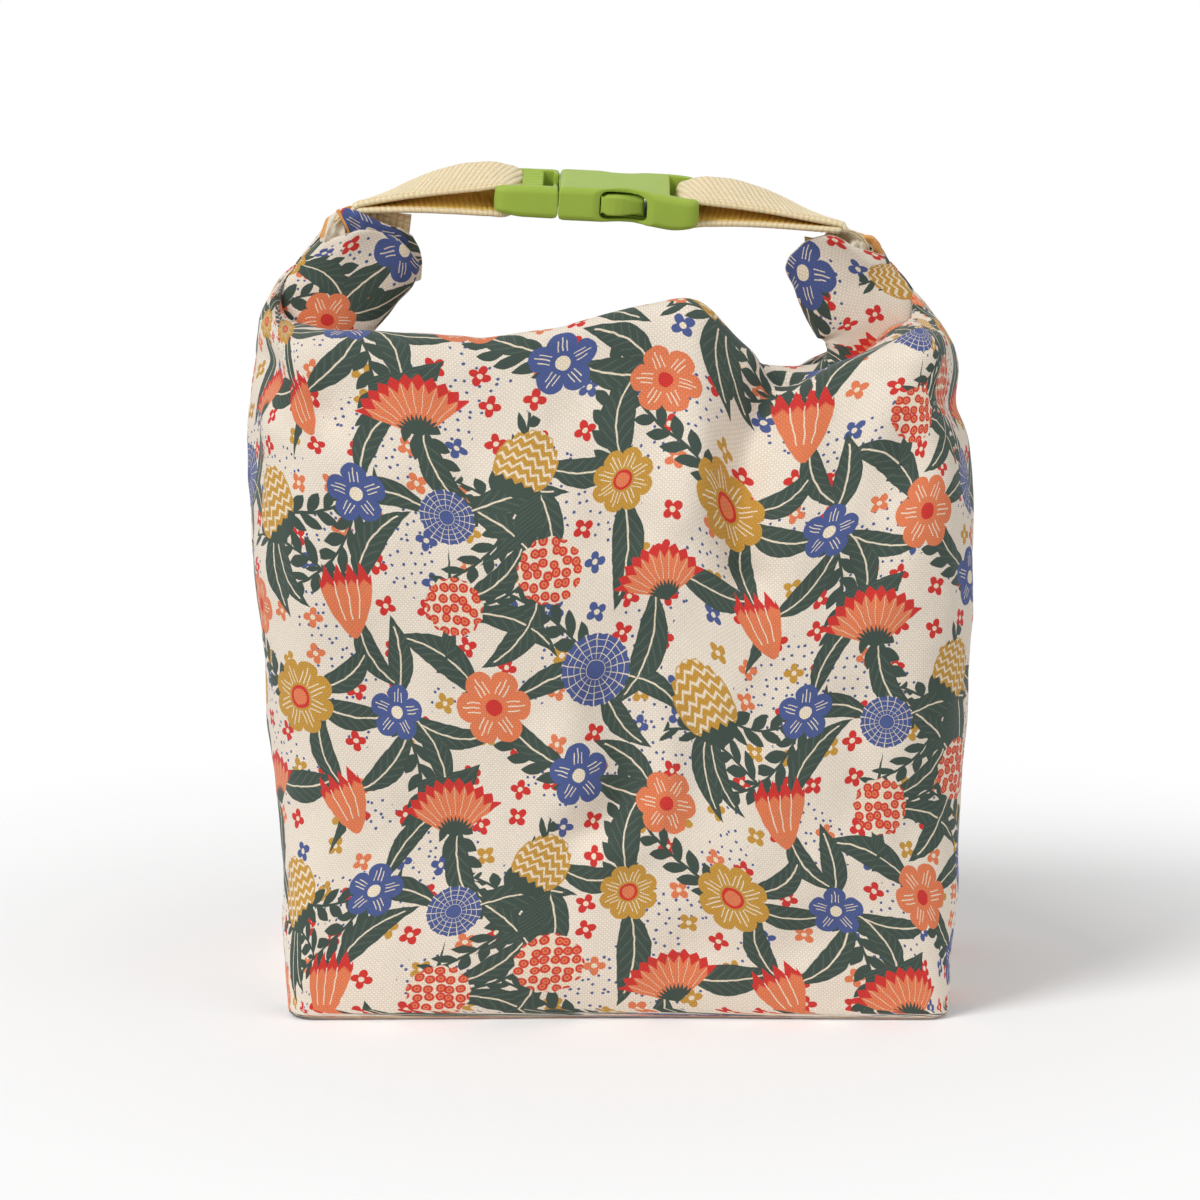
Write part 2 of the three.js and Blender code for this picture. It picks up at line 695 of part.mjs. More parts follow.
// Half with the prongs: rails, end bar for the webbing, ribbed bar, front wall and guide tongue
function maleFrame() {
  const half = BUCKLE_WIDTH / 2;
  const left = -MALE_LENGTH;
  const right = -PARTING / 2;
  const shape = new THREE.Shape();
  shape.moveTo(right, -half);
  shape.lineTo(right, half);
  shape.lineTo(left + 4, half - 0.6);
  shape.quadraticCurveTo(left, half - 0.8, left, half - 4.4);
  shape.lineTo(left, -half + 4.4);
  shape.quadraticCurveTo(left, -half + 0.8, left + 4, -half + 0.6);
  shape.lineTo(right, -half);
  const inner = half - RAIL;
  let solid = plate(shape, BUCKLE_THICKNESS - 0.6, BUCKLE_ROUND);
  const wall = 1.6;
  solid = solid.subtract(box(left - 1, right - wall, -inner, inner, -half, half));
  solid = solid.add(crossBar(MALE_BAR, BAR_LENGTH, BAR_THICKNESS, 2 * inner + 1));
  const ribStart = left + BAR_LENGTH + STRAP_SLOT;
  solid = solid.add(ribbedBar(ribStart, inner));
  const guide = box(right - wall, GUIDE_LENGTH, -GUIDE_WIDTH / 2, GUIDE_WIDTH / 2, -2.2, 2.2);
  const groove = box(right + 2, GUIDE_LENGTH - 2, -1, 1, 1.2, 3);
  return fromSolid(solid.add(guide.subtract(groove)));
}

// Bar that the thumb presses, with ribs that run along the buckle's axis
function ribbedBar(start, inner) {
  const top = BUCKLE_THICKNESS / 2 - 0.5;
  let bar = box(start, start + RIB_BAR, -inner - 0.5, inner + 0.5, -BAR_THICKNESS / 2 + 0.5, top);
  const pitch = (2 * inner) / RIB_COUNT;
  for (let i = 0; i < RIB_COUNT; i++) {
    const y = -inner + (i + 0.5) * pitch;
    const [y0, y1] = [y - 0.25 * pitch, y + 0.25 * pitch];
    bar = bar.subtract(box(start - 1, start + RIB_BAR + 1, y0, y1, top - RIB_DEPTH, top + 1));
  }
  return bar;
}

// Half that takes the prongs: hollow mouth, waisted sides, open windows and a bar for the webbing
function femaleHousing() {
  const half = BUCKLE_WIDTH / 2;
  const left = PARTING / 2;
  const right = FEMALE_LENGTH;
  const waist = half - 4.2;
  const windowEnd = WINDOW_START + WINDOW_LENGTH;
  const outline = (side) => {
    const s = side;
    const shape = new THREE.Shape();
    shape.moveTo(left, -s);
    shape.lineTo(right - 4, -s + 0.4);
    shape.quadraticCurveTo(right, -s + 0.6, right, -s + 4.4);
    shape.lineTo(right, s - 4.4);
    shape.quadraticCurveTo(right, s - 0.6, right - 4, s - 0.4);
    shape.lineTo(left, s);
    shape.lineTo(left, -s);
    return shape;
  };
  let solid = plate(outline(half), BUCKLE_THICKNESS, BUCKLE_ROUND);
  const cavityEnd = windowEnd + 1.2;
  const mouth = MOUTH_WIDTH / 2;
  const roof = MOUTH_HEIGHT / 2;
  solid = solid.subtract(box(left - 1, cavityEnd, -mouth, mouth, -roof, roof));
  for (const side of [-1, 1]) {
    solid = solid.subtract(sideWindow(side, waist, half, windowEnd));
    solid = solid.subtract(sideScoop(side, waist, half, windowEnd));
  }
  const slotStart = right - BAR_LENGTH - STRAP_SLOT - 0.8;
  const inner = half - RAIL;
  solid = solid.subtract(box(slotStart, right + 1, -inner, inner, -half, half));
  solid = solid.add(crossBar(FEMALE_BAR, BAR_LENGTH, BAR_THICKNESS, 2 * inner + 1));
  return fromSolid(solid);
}

// Opening in the side through which a prong's head shows
function sideWindow(side, waist, half, windowEnd) {
  const shape = new THREE.Shape();
  const h = WINDOW_HEIGHT / 2;
  shape.moveTo(WINDOW_START + 2, -h);
  shape.lineTo(windowEnd - 1.5, -h);
  shape.quadraticCurveTo(windowEnd, -h, windowEnd, -h + 1.5);
  shape.lineTo(windowEnd, h - 2.6);
  shape.quadraticCurveTo(windowEnd, h - 1, windowEnd - 2.5, h - 0.6);
  shape.lineTo(WINDOW_START + 2, h);
  shape.quadraticCurveTo(WINDOW_START, h, WINDOW_START, h - 2);
  shape.lineTo(WINDOW_START, -h + 2);
  shape.quadraticCurveTo(WINDOW_START, -h, WINDOW_START + 2, -h);
  const depth = half - waist + 4;
  const geometry = new THREE.ExtrudeGeometry(shape, { depth, bevelEnabled: false, curveSegments: 3 });
  geometry.rotateX(Math.PI / 2).translate(0, side > 0 ? half + 2 : -half - 2 + depth, 0);
  return toSolid(geometry);
}

// Waist of the housing beside the window, cut through its full thickness
function sideScoop(side, waist, half, windowEnd) {
  const start = WINDOW_START - 3.5;
  const end = windowEnd + 4;
  const middle = (start + end) / 2;
  const shape = new THREE.Shape();
  shape.moveTo(start, half + 3);
  shape.lineTo(start, half + 0.2);
  shape.bezierCurveTo(start + 4, half, WINDOW_START + 1, waist + 0.3, middle - 1, waist + 0.3);
  shape.bezierCurveTo(middle + 4, waist + 0.3, windowEnd - 1, half - 0.4, end, half + 0.2);
  shape.lineTo(end, half + 3);
  shape.lineTo(start, half + 3);
  const geometry = new THREE.ExtrudeGeometry(shape, {
    depth: 2 * BUCKLE_THICKNESS,
    bevelEnabled: false,
    curveSegments: 6,
  });
  geometry.translate(0, 0, -BUCKLE_THICKNESS);
  if (side < 0) geometry.rotateZ(Math.PI).translate(start + end, 0, 0);
  return toSolid(geometry);
}

// Springy arm with its head, on the side given: 1 for the rear and -1 for the front
function prong(side) {
  const root = PARTING / 2 + 0.1;
  const head = WINDOW_START + GAP;
  const tip = head + PRONG_HEAD;
  const outer = PRONG_PIVOT + PRONG_ARM / 2;
  const inner = PRONG_PIVOT - PRONG_ARM / 2;
  const shape = new THREE.Shape();
  shape.moveTo(root, inner);
  shape.lineTo(head, inner + 1);
  shape.quadraticCurveTo(tip - 3, inner + 1.6, tip, inner + 3.4);
  shape.quadraticCurveTo(tip + 0.4, inner + 5.2, tip - 1.6, inner + 6);
  shape.quadraticCurveTo(head + 5, PRONG_SPREAD + 1, head, PRONG_SPREAD - 1.2);
  shape.lineTo(head, outer + 1.2);
  shape.lineTo(root, outer);
  shape.lineTo(root, inner);
  const solid = plate(shape, MOUTH_HEIGHT - 2 * GAP, 0.5);
  const geometry = fromSolid(solid);
  if (side < 0) {
    geometry.rotateX(Math.PI);
  }
  return geometry;
}

// Ochre tape that binds the side seam, seen where the outermost turn comes out of the roll's end
function seamBinding(hand) {
  const section = earSection(hand, earEnd(hand));
  const rise = section.outward.clone().cross(new THREE.Vector3(0, hand, 0)).normalize();
  const count = SPIRAL.length / 2;
  const first = count - BINDING_STEPS;
  const outline = SPIRAL.slice(first, count + BINDING_STEPS);
  const ring = (lift) => outline.map((p) => section.centre.clone()
    .addScaledVector(section.outward, -p.x * section.scale)
    .addScaledVector(rise, lift)
    .setY(ROLL_Y + p.y));
  return loft([ring(GAP), ring(GAP + BINDING_WIDTH)], outline);
}

// Assembly

for (const [name, face] of [['front', -1], ['back', 1]]) {
  const rows = RISE_STEPS + RETURN_STEPS;
  const foamRow = Math.round(RISE_STEPS * FOAM_TOP);
  const foamFrom = CLOTH + GAP;
  const liningFrom = foamFrom + FOAM + GAP;
  const outer = wallLayer(face, 0, CLOTH, rows);
  const foam = wallLayer(face, foamFrom, foamFrom + FOAM, foamRow);
  const lining = wallLayer(face, liningFrom, liningFrom + LINING, foamRow);
  addMesh(bag, `outer_${name}`, outer, COLOURS.print, 0.9);
  addMesh(bag, `foam_${name}`, foam, COLOURS.foam, 0.95);
  addMesh(bag, `lining_${name}`, lining, COLOURS.lining, 0.6);
}
const wallThickness = CLOTH + FOAM + LINING + 4 * GAP;
const foamBase = CLOTH + GAP;
addMesh(bag, 'outer_base', basePanel(0, 0, CLOTH), COLOURS.print, 0.9);
addMesh(bag, 'foam_base', basePanel(wallThickness, foamBase, FOAM), COLOURS.foam, 0.95);
addMesh(bag, 'lining_base', basePanel(wallThickness, foamBase + FOAM + GAP, LINING), COLOURS.lining, 0.6);

addMesh(bag, 'rolled_top', rollMiddle(), COLOURS.print, 0.9);
for (const [name, hand] of [['left', -1], ['right', 1]]) {
  addMesh(bag, `${name}_roll_end`, rollEnd(hand), COLOURS.print, 0.9);
  addMesh(bag, `${name}_seam_binding`, seamBinding(hand), COLOURS.binding, 0.8);
  addMesh(bag, `${name}_strap`, strap(hand), COLOURS.webbing, 0.85);
}

const buckle = new THREE.Group();
buckle.applyMatrix4(buckleMatrix);
bag.add(buckle);
addMesh(buckle, 'male_buckle_frame', maleFrame(), COLOURS.buckle, 0.35);
addMesh(buckle, 'front_prong', prong(-1), COLOURS.buckle, 0.35);
addMesh(buckle, 'rear_prong', prong(1), COLOURS.buckle, 0.35);
addMesh(buckle, 'female_buckle_housing', femaleHousing(), COLOURS.buckle, 0.35);

export default bag;
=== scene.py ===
# Looks of the roll-top lunch bag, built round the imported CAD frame
# Metres in Blender; shapes are worked out in millimetres. +X right, +Y back, +Z up
import math
import random
from contextlib import contextmanager

import bmesh
import bpy
import numpy as np
from mathutils import Matrix, Vector, noise
from mathutils.bvhtree import BVHTree


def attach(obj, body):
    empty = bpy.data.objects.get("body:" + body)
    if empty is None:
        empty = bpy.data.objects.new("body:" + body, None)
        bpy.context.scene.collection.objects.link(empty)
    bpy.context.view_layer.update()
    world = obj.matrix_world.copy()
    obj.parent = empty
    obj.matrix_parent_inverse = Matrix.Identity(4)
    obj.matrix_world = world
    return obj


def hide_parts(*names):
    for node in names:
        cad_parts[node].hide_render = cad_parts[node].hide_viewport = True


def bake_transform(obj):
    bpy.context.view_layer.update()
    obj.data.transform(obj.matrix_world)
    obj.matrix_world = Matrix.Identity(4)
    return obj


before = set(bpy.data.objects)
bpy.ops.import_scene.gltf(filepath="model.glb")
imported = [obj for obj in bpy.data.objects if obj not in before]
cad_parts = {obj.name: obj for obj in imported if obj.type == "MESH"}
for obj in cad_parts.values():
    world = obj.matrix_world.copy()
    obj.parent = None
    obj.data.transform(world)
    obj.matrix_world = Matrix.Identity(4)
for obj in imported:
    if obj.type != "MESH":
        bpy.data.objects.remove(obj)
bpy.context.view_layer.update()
scene = bpy.context.scene
MM = 0.001
TURN = 2 * math.pi


def linear(*colour):
    """Screen colour, 0 to 255, as the linear values that shaders take."""
    values = [c / 255 for c in colour]
    return tuple(c / 12.92 if c <= 0.04045 else ((c + 0.055) / 1.055) ** 2.4 for c in values)


# Colours, given as they look on screen
CREAM = linear(236, 223, 206)
LEAF_GREEN = linear(58, 74, 65)
LEAF_VEIN = linear(150, 164, 146)
CORAL = linear(226, 124, 80)
MUSTARD = linear(198, 148, 56)
BLUE = linear(72, 88, 142)
RED = linear(208, 46, 40)
PALE = linear(238, 222, 196)
LINING = linear(232, 219, 196)
BINDING = linear(236, 164, 78)
WEBBING = linear(252, 230, 188)
WEBBING_SHADE = linear(214, 172, 108)
# Warm mustard for the strap's inside faces: painted glow and shade standing in for light bounced between
# the two bands and passed through the cream webbing
WEBBING_PAINTED_GLOW = linear(255, 216, 92)
BUCKLE = linear(163, 188, 76)
WHITE = (1.0, 1.0, 1.0)


def lerp(a, b, t):
    return a + (b - a) * t


def smooth(t):
    """0 up to 0, 1 from 1 on, and an eased step between."""
    c = np.clip(t, 0.0, 1.0)
    return c * c * (3 - 2 * c)


def bump(t):
    """A bell: 1 at 0, fading to both sides."""
    return np.exp(-np.square(t))


def unit(vectors):
    """The vectors at a length of 1."""
    return vectors / np.maximum(np.linalg.norm(vectors, axis=-1, keepdims=True), 1e-9)


def eased_rows(points):
    """The points with each row, but for the first and last, drawn towards its neighbours."""
    eased = points.copy()
    eased[1:-1] = (points[:-2] + 2 * points[1:-1] + points[2:]) / 4
    return eased


def eased_round(points, axis):
    """The same for closed rings, all of whose points have two neighbours."""
    return (np.roll(points, 1, axis) + 2 * points + np.roll(points, -1, axis)) / 4


def lengths_along(line):
    """Length along a line of points, from its start to each of them."""
    return np.concatenate([[0.0], np.cumsum(np.linalg.norm(np.diff(line, axis=0), axis=1))])


def profile(points, x, soften=6.0):
    """Value at x of the line through the points, with its corners eased."""
    xs, ys = zip(*points)
    shifts = np.linspace(-soften, soften, 5)
    return sum(np.interp(x + s, xs, ys) for s in shifts) / len(shifts)


# Shader nodes, written as sums

def formula(operation, swapped=False):
    """A method that applies a shader operation to the value and another."""
    def apply(self, other):
        terms = (other, self) if swapped else (self, other)
        return self.graph.math(operation, *terms)
    return apply


class Value:
    """A shader output that can be used in formulas."""

    def __init__(self, graph, socket):
        self.graph = graph
        self.socket = socket

    __add__ = formula("ADD")
    __radd__ = formula("ADD", swapped=True)
    __sub__ = formula("SUBTRACT")
    __rsub__ = formula("SUBTRACT", swapped=True)
    __mul__ = formula("MULTIPLY")
    __truediv__ = formula("DIVIDE")

    def __neg__(self):
        return self * -1.0


class Graph:
    """Node tree builder: nodes are made in the order in which they are needed."""

    def __init__(self, tree):
        self.tree = tree

    def node(self, kind, inputs=None, **settings):
        made = self.tree.nodes.new(kind)
        for key, setting in settings.items():
            setattr(made, key, setting)
        for key, given in (inputs or {}).items():
            self.feed(made.inputs[key], given)
        return made

    def feed(self, socket, given):
        if isinstance(given, Value):
            self.tree.links.new(given.socket, socket)
        elif hasattr(given, "is_linked"):
            self.tree.links.new(given, socket)
        elif isinstance(given, tuple) and len(given) == 3 and len(socket.default_value) == 4:
            socket.default_value = (*given, 1.0)
        else:
            socket.default_value = given

    def out(self, kind, output, inputs=None, **settings):
        return Value(self, self.node(kind, inputs, **settings).outputs[output])

    def math(self, operation, *terms, clamp=False):
        inputs = dict(enumerate(terms))
        return self.out("ShaderNodeMath", 0, inputs, operation=operation, use_clamp=clamp)

    def vector(self, operation, *terms, output=0):
        inputs = dict(enumerate(terms))
        return self.out("ShaderNodeVectorMath", output, inputs, operation=operation)

    def mix(self, factor, a, b):
        """Colour a where the factor is 0 and b where it is 1."""
        return self.out("ShaderNodeMix", 2, {0: factor, 6: a, 7: b}, data_type="RGBA")

    def pick(self, factor, a, b):
        """Vector a where the factor is 0 and b where it is 1."""
        return self.out("ShaderNodeMix", 1, {0: factor, 4: a, 5: b}, data_type="VECTOR")

    def pack(self, x, y, z=0.0):
        return self.out("ShaderNodeCombineXYZ", 0, {"X": x, "Y": y, "Z": z})

    def unpack(self, vector):
        node = self.node("ShaderNodeSeparateXYZ", {"Vector": vector})
        return [Value(self, node.outputs[k]) for k in range(3)]

    def absolute(self, x):
        return self.math("ABSOLUTE", x)

    def minimum(self, a, b):
        return self.math("MINIMUM", a, b)

    def maximum(self, a, b):
        return self.math("MAXIMUM", a, b)

    def less(self, a, b):
        return self.math("LESS_THAN", a, b)

    def more(self, a, b):
        return self.math("GREATER_THAN", a, b)

    def square_sum(self, x, y):
        return self.math("MULTIPLY_ADD", x, x, y * y)

    def polar(self, x, y):
        """Distance from the middle, and the angle round it."""
        return self.math("SQRT", self.square_sum(x, y)), self.math("ARCTAN2", y, x)

    def edge(self, inside, sharp=6.0):
        """1 where a signed distance in mm is positive, 0 where it is negative, with a soft edge."""
        return self.math("MULTIPLY_ADD", inside, sharp, 0.5, clamp=True)

    def wave(self, x, pitch):
        """Triangle wave from 0 to 1 and back over one pitch."""
        return self.math("PINGPONG", x * (2.0 / pitch), 1.0)

    def ribs(self, x, pitch):
        """Round ribs, one to each pitch: 0 between them and 1 on top."""
        return self.absolute(self.math("SINE", x * (math.pi / pitch)))

    def cloud(self, x, y, scale, detail, output=0):
        """Noise on the flat cloth."""
        inputs = {"Vector": self.pack(x, y), "Scale": scale, "Detail": detail}
        return self.out("ShaderNodeTexNoise", output, inputs, noise_dimensions="2D")

    def cells(self, x, y, size, randomness):
        """Cells on the flat cloth, size in mm, their points moved about by the randomness."""
        place = self.pack(x * (1 / size), y * (1 / size))
        inputs = {"Vector": place, "Scale": 1.0, "Randomness": randomness}
        return self.node("ShaderNodeTexVoronoi", inputs, voronoi_dimensions="2D")


def new_material(name, roughness, **extras):
    """A material with its shader; extras are shader sockets set to fixed values."""
    material = bpy.data.materials.new(name)
    material.use_nodes = True
    tree = material.node_tree
    shader = tree.nodes["Principled BSDF"]
    shader.inputs["Roughness"].default_value = roughness
    for key, setting in extras.items():
        shader.inputs[key.replace("_", " ")].default_value = setting
    return material, Graph(tree), shader


# Printed cloth: a half-drop repeat of flowers, leaves and sprigs on a cream ground

REPEAT_X = 126.0
REPEAT_Y = 112.0
UNIT = 10.0
FLOWERS = (
    ("five", 8.8), ("tulip", 11.0), ("oval", 11.6), ("berries", 9.6), ("open", 10.8), ("fan", 11.4),
    ("scallop", 10.8), ("ringed", 10.2), ("five", 7.8), ("tulip", 10.0), ("berries", 8.6),
    ("ringed", 7.6), ("oval", 9.6), ("scallop", 8.4), ("fan", 10.2), ("five", 8.2), ("open", 9.0),
)
KINDS = ("five", "open", "scallop", "oval", "berries", "tulip", "fan", "ringed")
UPRIGHT = ("oval", "tulip", "fan")
LEAF_COUNT = 32
SPRIG_COUNT = 13
SPACING = 1.62
PUSH = 0.12
ROUNDS = 500
PLACE_SEED = 7
MOTIF_SEED = 11
FAR = 9.0


def wrapped(dx, dy):
    """The shortest step between two places of the half-drop repeat."""
    k = round(dx / REPEAT_X)
    dy -= k * REPEAT_Y / 2
    return dx - k * REPEAT_X, dy - REPEAT_Y * round(dy / REPEAT_Y)


def spread_circles(radii):
    """Places for circles on the repeat, pushed apart until they are evenly spread."""
    draw = random.Random(PLACE_SEED)
    places = [[draw.uniform(0, REPEAT_X), draw.uniform(0, REPEAT_Y)] for _ in radii]
    for _ in range(ROUNDS):
        for i, a in enumerate(places):
            for j, b in enumerate(places):
                if i == j:
                    continue
                dx, dy = wrapped(a[0] - b[0], a[1] - b[1])
                gap = math.hypot(dx, dy)
                want = (radii[i] + radii[j]) * SPACING
                if 1e-6 < gap < want:
                    push = PUSH * (want - gap) / gap
                    a[0] += dx * push
                    a[1] += dy * push
    return places


def print_layout():
    """Flowers, leaves and sprigs of one repeat, spread by relaxation from a fixed seed."""
    places = spread_circles([size for _, size in FLOWERS])
    draw = random.Random(MOTIF_SEED)
    flowers = []
    leaves = []
    sprigs = []
    for (kind, size), (x, y) in zip(FLOWERS, places):
        angle = draw.uniform(-0.7, 0.7) if kind in UPRIGHT else draw.uniform(0, TURN)
        flowers.append((x, y, angle, size, size, float(KINDS.index(kind)), 0.0))
    for i in range(LEAF_COUNT):
        x, y, _, size = flowers[i % len(flowers)][:4]
        heading = draw.uniform(0, TURN)
        start = size * 0.4
        leaves.append((x + start * math.cos(heading), y + start * math.sin(heading), heading,
                       draw.uniform(24, 35), draw.uniform(3.4, 4.9),
                       draw.choice((-1, 1)) * draw.uniform(2.0, 5.0)))
    for i in range(SPRIG_COUNT):
        x, y = flowers[(i * 5 + 2) % len(flowers)][:2]
        heading = draw.uniform(0, TURN)
        sprigs.append((x, y, heading, draw.uniform(34, 42), draw.choice((-1, 1)) * draw.uniform(3, 7)))
    return flowers, leaves, sprigs


def lattice(x, y):
    """A place in mm as parts of the repeat's two steps, one of them half dropped."""
    a = x / REPEAT_X
    return a, y / REPEAT_Y - a / 2


def rows_for(angle, scale_x, scale_y):
    """Rows that turn a lattice offset into the motif's own turned and scaled coordinates."""
    c, s = math.cos(angle), math.sin(angle)
    along = ((REPEAT_X * c + REPEAT_Y / 2 * s) / scale_x, REPEAT_Y * s / scale_x, 0.0)
    across = ((REPEAT_Y / 2 * c - REPEAT_X * s) / scale_y, REPEAT_Y * c / scale_y, 0.0)
    return along, across


def new_group(name, inputs, outputs):
    """An empty node group with its sockets; returns its builder, its inputs and its output node."""
    tree = bpy.data.node_groups.new(name, "ShaderNodeTree")
    for way, sockets in (("INPUT", inputs), ("OUTPUT", outputs)):
        for key, kind in sockets:
            tree.interface.new_socket(name=key, in_out=way, socket_type="NodeSocket" + kind)
    g = Graph(tree)
    start = g.node("NodeGroupInput")
    given = {key: Value(g, start.outputs[key]) for key, _ in inputs}
    return g, given, g.node("NodeGroupOutput")


STEP_INPUTS = (("Place", "Vector"), ("Centre", "Vector"), ("Along", "Vector"), ("Across", "Vector"),
               ("Data", "Float"), ("Bend", "Float"), ("Best", "Float"), ("Chosen", "Vector"))
STEP_OUTPUTS = (("Best", "Float"), ("Chosen", "Vector"))
HALF_REPEAT = (0.5, 0.5, 0.5)
MINUS_HALF_REPEAT = (-0.5, -0.5, -0.5)


def step_group(name, measure):
    """Group that keeps the motif lying nearest so far; measure gives how near, and its coordinates."""
    g, given, end = new_group(name, STEP_INPUTS, STEP_OUTPUTS)
    offset = g.vector("SUBTRACT", given["Place"], given["Centre"])
    offset = g.vector("WRAP", offset, HALF_REPEAT, MINUS_HALF_REPEAT)
    along = g.vector("DOT_PRODUCT", offset, given["Along"], output="Value")
    across = g.vector("DOT_PRODUCT", offset, given["Across"], output="Value")
    inside, coordinates = measure(g, along, across, given)
    nearer = g.more(inside, given["Best"])
    g.feed(end.inputs["Best"], g.maximum(inside, given["Best"]))
    g.feed(end.inputs["Chosen"], g.pick(nearer, given["Chosen"], coordinates))
    return g.tree


def flower_measure(g, along, across, given):
    return -g.square_sum(along, across), g.pack(along, across, given["Data"])


def leaf_measure(g, along, across, given):
    arch = along * (1 - along)
    bent = g.math("MULTIPLY_ADD", arch, given["Bend"], across)
    half = arch * g.math("MULTIPLY_ADD", along, -2.2, 5.1) * given["Data"]
    return half - g.absolute(bent), g.pack(along, bent, given["Data"])


def sprig_measure(g, along, across, given):
    bent = g.math("MULTIPLY_ADD", along * (1 - along), given["Bend"], across)
    past = g.absolute(along - 0.5) - 0.5
    away = g.maximum(g.absolute(bent), past * 100.0)
    return -away, g.pack(along, bent, given["Data"])


def choose_motif(g, tree, place, motifs):
    """Runs the group once for each motif (x, y, angle, scale x, scale y, data, bend)."""
    best = g.math("ADD", -1e6, 0.0)
    chosen = g.pack(FAR, FAR)
    for x, y, angle, scale_x, scale_y, data, bend in motifs:
        along, across = rows_for(angle, scale_x, scale_y)
        node = g.node("ShaderNodeGroup", {
            "Place": place, "Centre": (*lattice(x, y), 0.0), "Along": along, "Across": across,
            "Data": data, "Bend": bend, "Best": best, "Chosen": chosen}, node_tree=tree)
        best = Value(g, node.outputs["Best"])
        chosen = Value(g, node.outputs["Chosen"])
    return best, g.unpack(chosen)


def draw_leaves(g, colour, place, leaves):
    """Pointed, bent leaves with a pale midrib; each is (x, y, angle, length, width, bend)."""
    tree = step_group("nearest_leaf", leaf_measure)
    motifs = [(*leaf[:4], 1.0, leaf[4], -4 * leaf[5]) for leaf in leaves]
    best, (t, across, _) = choose_motif(g, tree, place, motifs)
    side = g.absolute(across)
    midrib = g.edge(0.24 - side, 5.0) * g.less(t, 0.86)
    veins = g.edge(g.wave(t * 27.0 - side * 1.3, 3.1) - 0.84, 3.0) * g.edge(best - 0.7, 3.0)
    tone = g.mix(veins * 0.16, LEAF_GREEN, LEAF_VEIN)
    tone = g.mix(midrib, tone, PALE)
    return g.mix(g.edge(best - 0.12), colour, tone)


SPRIG_PITCH = 5.6
SPRIG_LEAN = math.radians(38)


def draw_sprigs(g, colour, place, sprigs):
    """Curved stems with pairs of small leaves; each is (x, y, angle, length, bend)."""
    tree = step_group("nearest_sprig", sprig_measure)
    motifs = [(*sprig[:4], 1.0, sprig[3], -4 * sprig[4]) for sprig in sprigs]
    _, (t, across, length) = choose_motif(g, tree, place, motifs)
    side = g.absolute(across)
    shifted = t * length + g.more(across, 0.0) * (SPRIG_PITCH / 2)
    rest = g.math("FLOORED_MODULO", shifted, SPRIG_PITCH)
    size = 1.2 - t * 0.5
    inside = 0.42 - side
    for back in (0.0, SPRIG_PITCH):
        q = rest + back
        x = (q * math.cos(SPRIG_LEAN) + side * math.sin(SPRIG_LEAN)) / size
        y = (side * math.cos(SPRIG_LEAN) - q * math.sin(SPRIG_LEAN)) / size
        arch = g.math("MULTIPLY", x, 1 / 8.0, clamp=True)
        inside = g.maximum(inside, arch * (1 - arch) * 7.2 - g.absolute(y) - 0.12)
    ends = g.minimum(t, 1 - t) * 40.0
    return g.mix(g.edge(g.minimum(inside, ends)), colour, LEAF_GREEN)


# Flowers: each function gives how far a place lies inside the flower, in mm, and its colour there

def rosette(g, x, y, petals, notch, petal, centre, ring):
    """A round flower seen from the front, with pale lines on its petals."""
    r, a = g.polar(x, y)
    turn = a * (petals / TURN)
    off = (turn - g.math("ROUND", turn)) * (TURN / petals)
    lobe = g.math("POWER", g.maximum(g.math("COSINE", off * (petals / 2)), 0.0), 0.45)
    outline = lobe * (UNIT * notch) + UNIT * (1 - notch)
    across = g.absolute(r * g.math("SINE", off))
    line = g.edge(0.17 - across) * g.less(r, 0.84 * UNIT)
    pair = g.edge(0.15 - g.absolute(across - 0.12 * UNIT)) * g.less(r, 0.72 * UNIT)
    tone = g.mix(g.maximum(line, pair) * g.more(r, 0.38 * UNIT), petal, PALE)
    tone = g.mix(g.edge(0.31 * UNIT - r), tone, ring)
    return outline - r, g.mix(g.edge(0.22 * UNIT - r), tone, centre)


def oval(g, x, y):
    """A mustard bud with rows of pale points and a serrated crown."""
    up = y * (1 / UNIT)
    half = g.math("SQRT", g.maximum(1 - up * up, 0.0)) * (0.86 * UNIT)
    points = g.wave(x, 0.3 * UNIT)
    inside = half - g.absolute(x) - g.more(y, 0.45 * UNIT) * points * (0.14 * UNIT)
    rows = g.wave(y - points * (0.16 * UNIT) + g.absolute(x) * 0.35, 0.27 * UNIT)
    pale = g.edge(rows - 0.66, 4.0) * g.edge(inside - 0.5, 3.0) * g.more(y, -0.55 * UNIT)
    calyx = g.edge(-0.62 * UNIT - y + points * (0.12 * UNIT))
    return inside, g.mix(calyx, g.mix(pale, MUSTARD, PALE), LEAF_GREEN)


def berries(g, x, y, u, v):
    """A round cluster of small red rings."""
    cell = 2.9
    r, a = g.polar(x, y)
    near = Value(g, g.cells(u, v, cell, 0.45).outputs["Distance"]) * cell
    tone = PALE
    for radius, ring in ((1.34, RED), (0.78, CORAL), (0.3, RED)):
        tone = g.mix(g.edge(radius - near, 4.0), tone, ring)
    return 0.98 * UNIT - r - g.wave(a, TURN / 13) * 0.7, tone


def tulip(g, x, y):
    """A coral bell with pointed red tips and pale lines."""
    t = (y + UNIT) * (1 / (2 * UNIT))
    half = g.math("SINE", g.math("POWER", g.maximum(1.04 - t, 0.0), 0.62) * math.pi) * (0.3 * UNIT)
    half = half + g.math("SQRT", g.maximum(t * (1.9 - t), 0.0)) * (0.42 * UNIT)
    tips = g.wave(x + 0.16 * UNIT, 0.32 * UNIT) * (0.42 * UNIT)
    inside = g.minimum(half - g.absolute(x), 0.95 * UNIT - tips - y)
    inside = g.minimum(inside, y + 0.98 * UNIT)
    lines = g.absolute(g.absolute(x) - half * 0.45)
    line = g.edge(0.16 - g.minimum(lines, g.absolute(x))) * g.less(g.absolute(y), 0.5 * UNIT)
    tone = g.mix(g.edge(y - 0.5 * UNIT + tips * 0.4, 1.2), CORAL, RED)
    return inside, g.mix(line, tone, PALE)


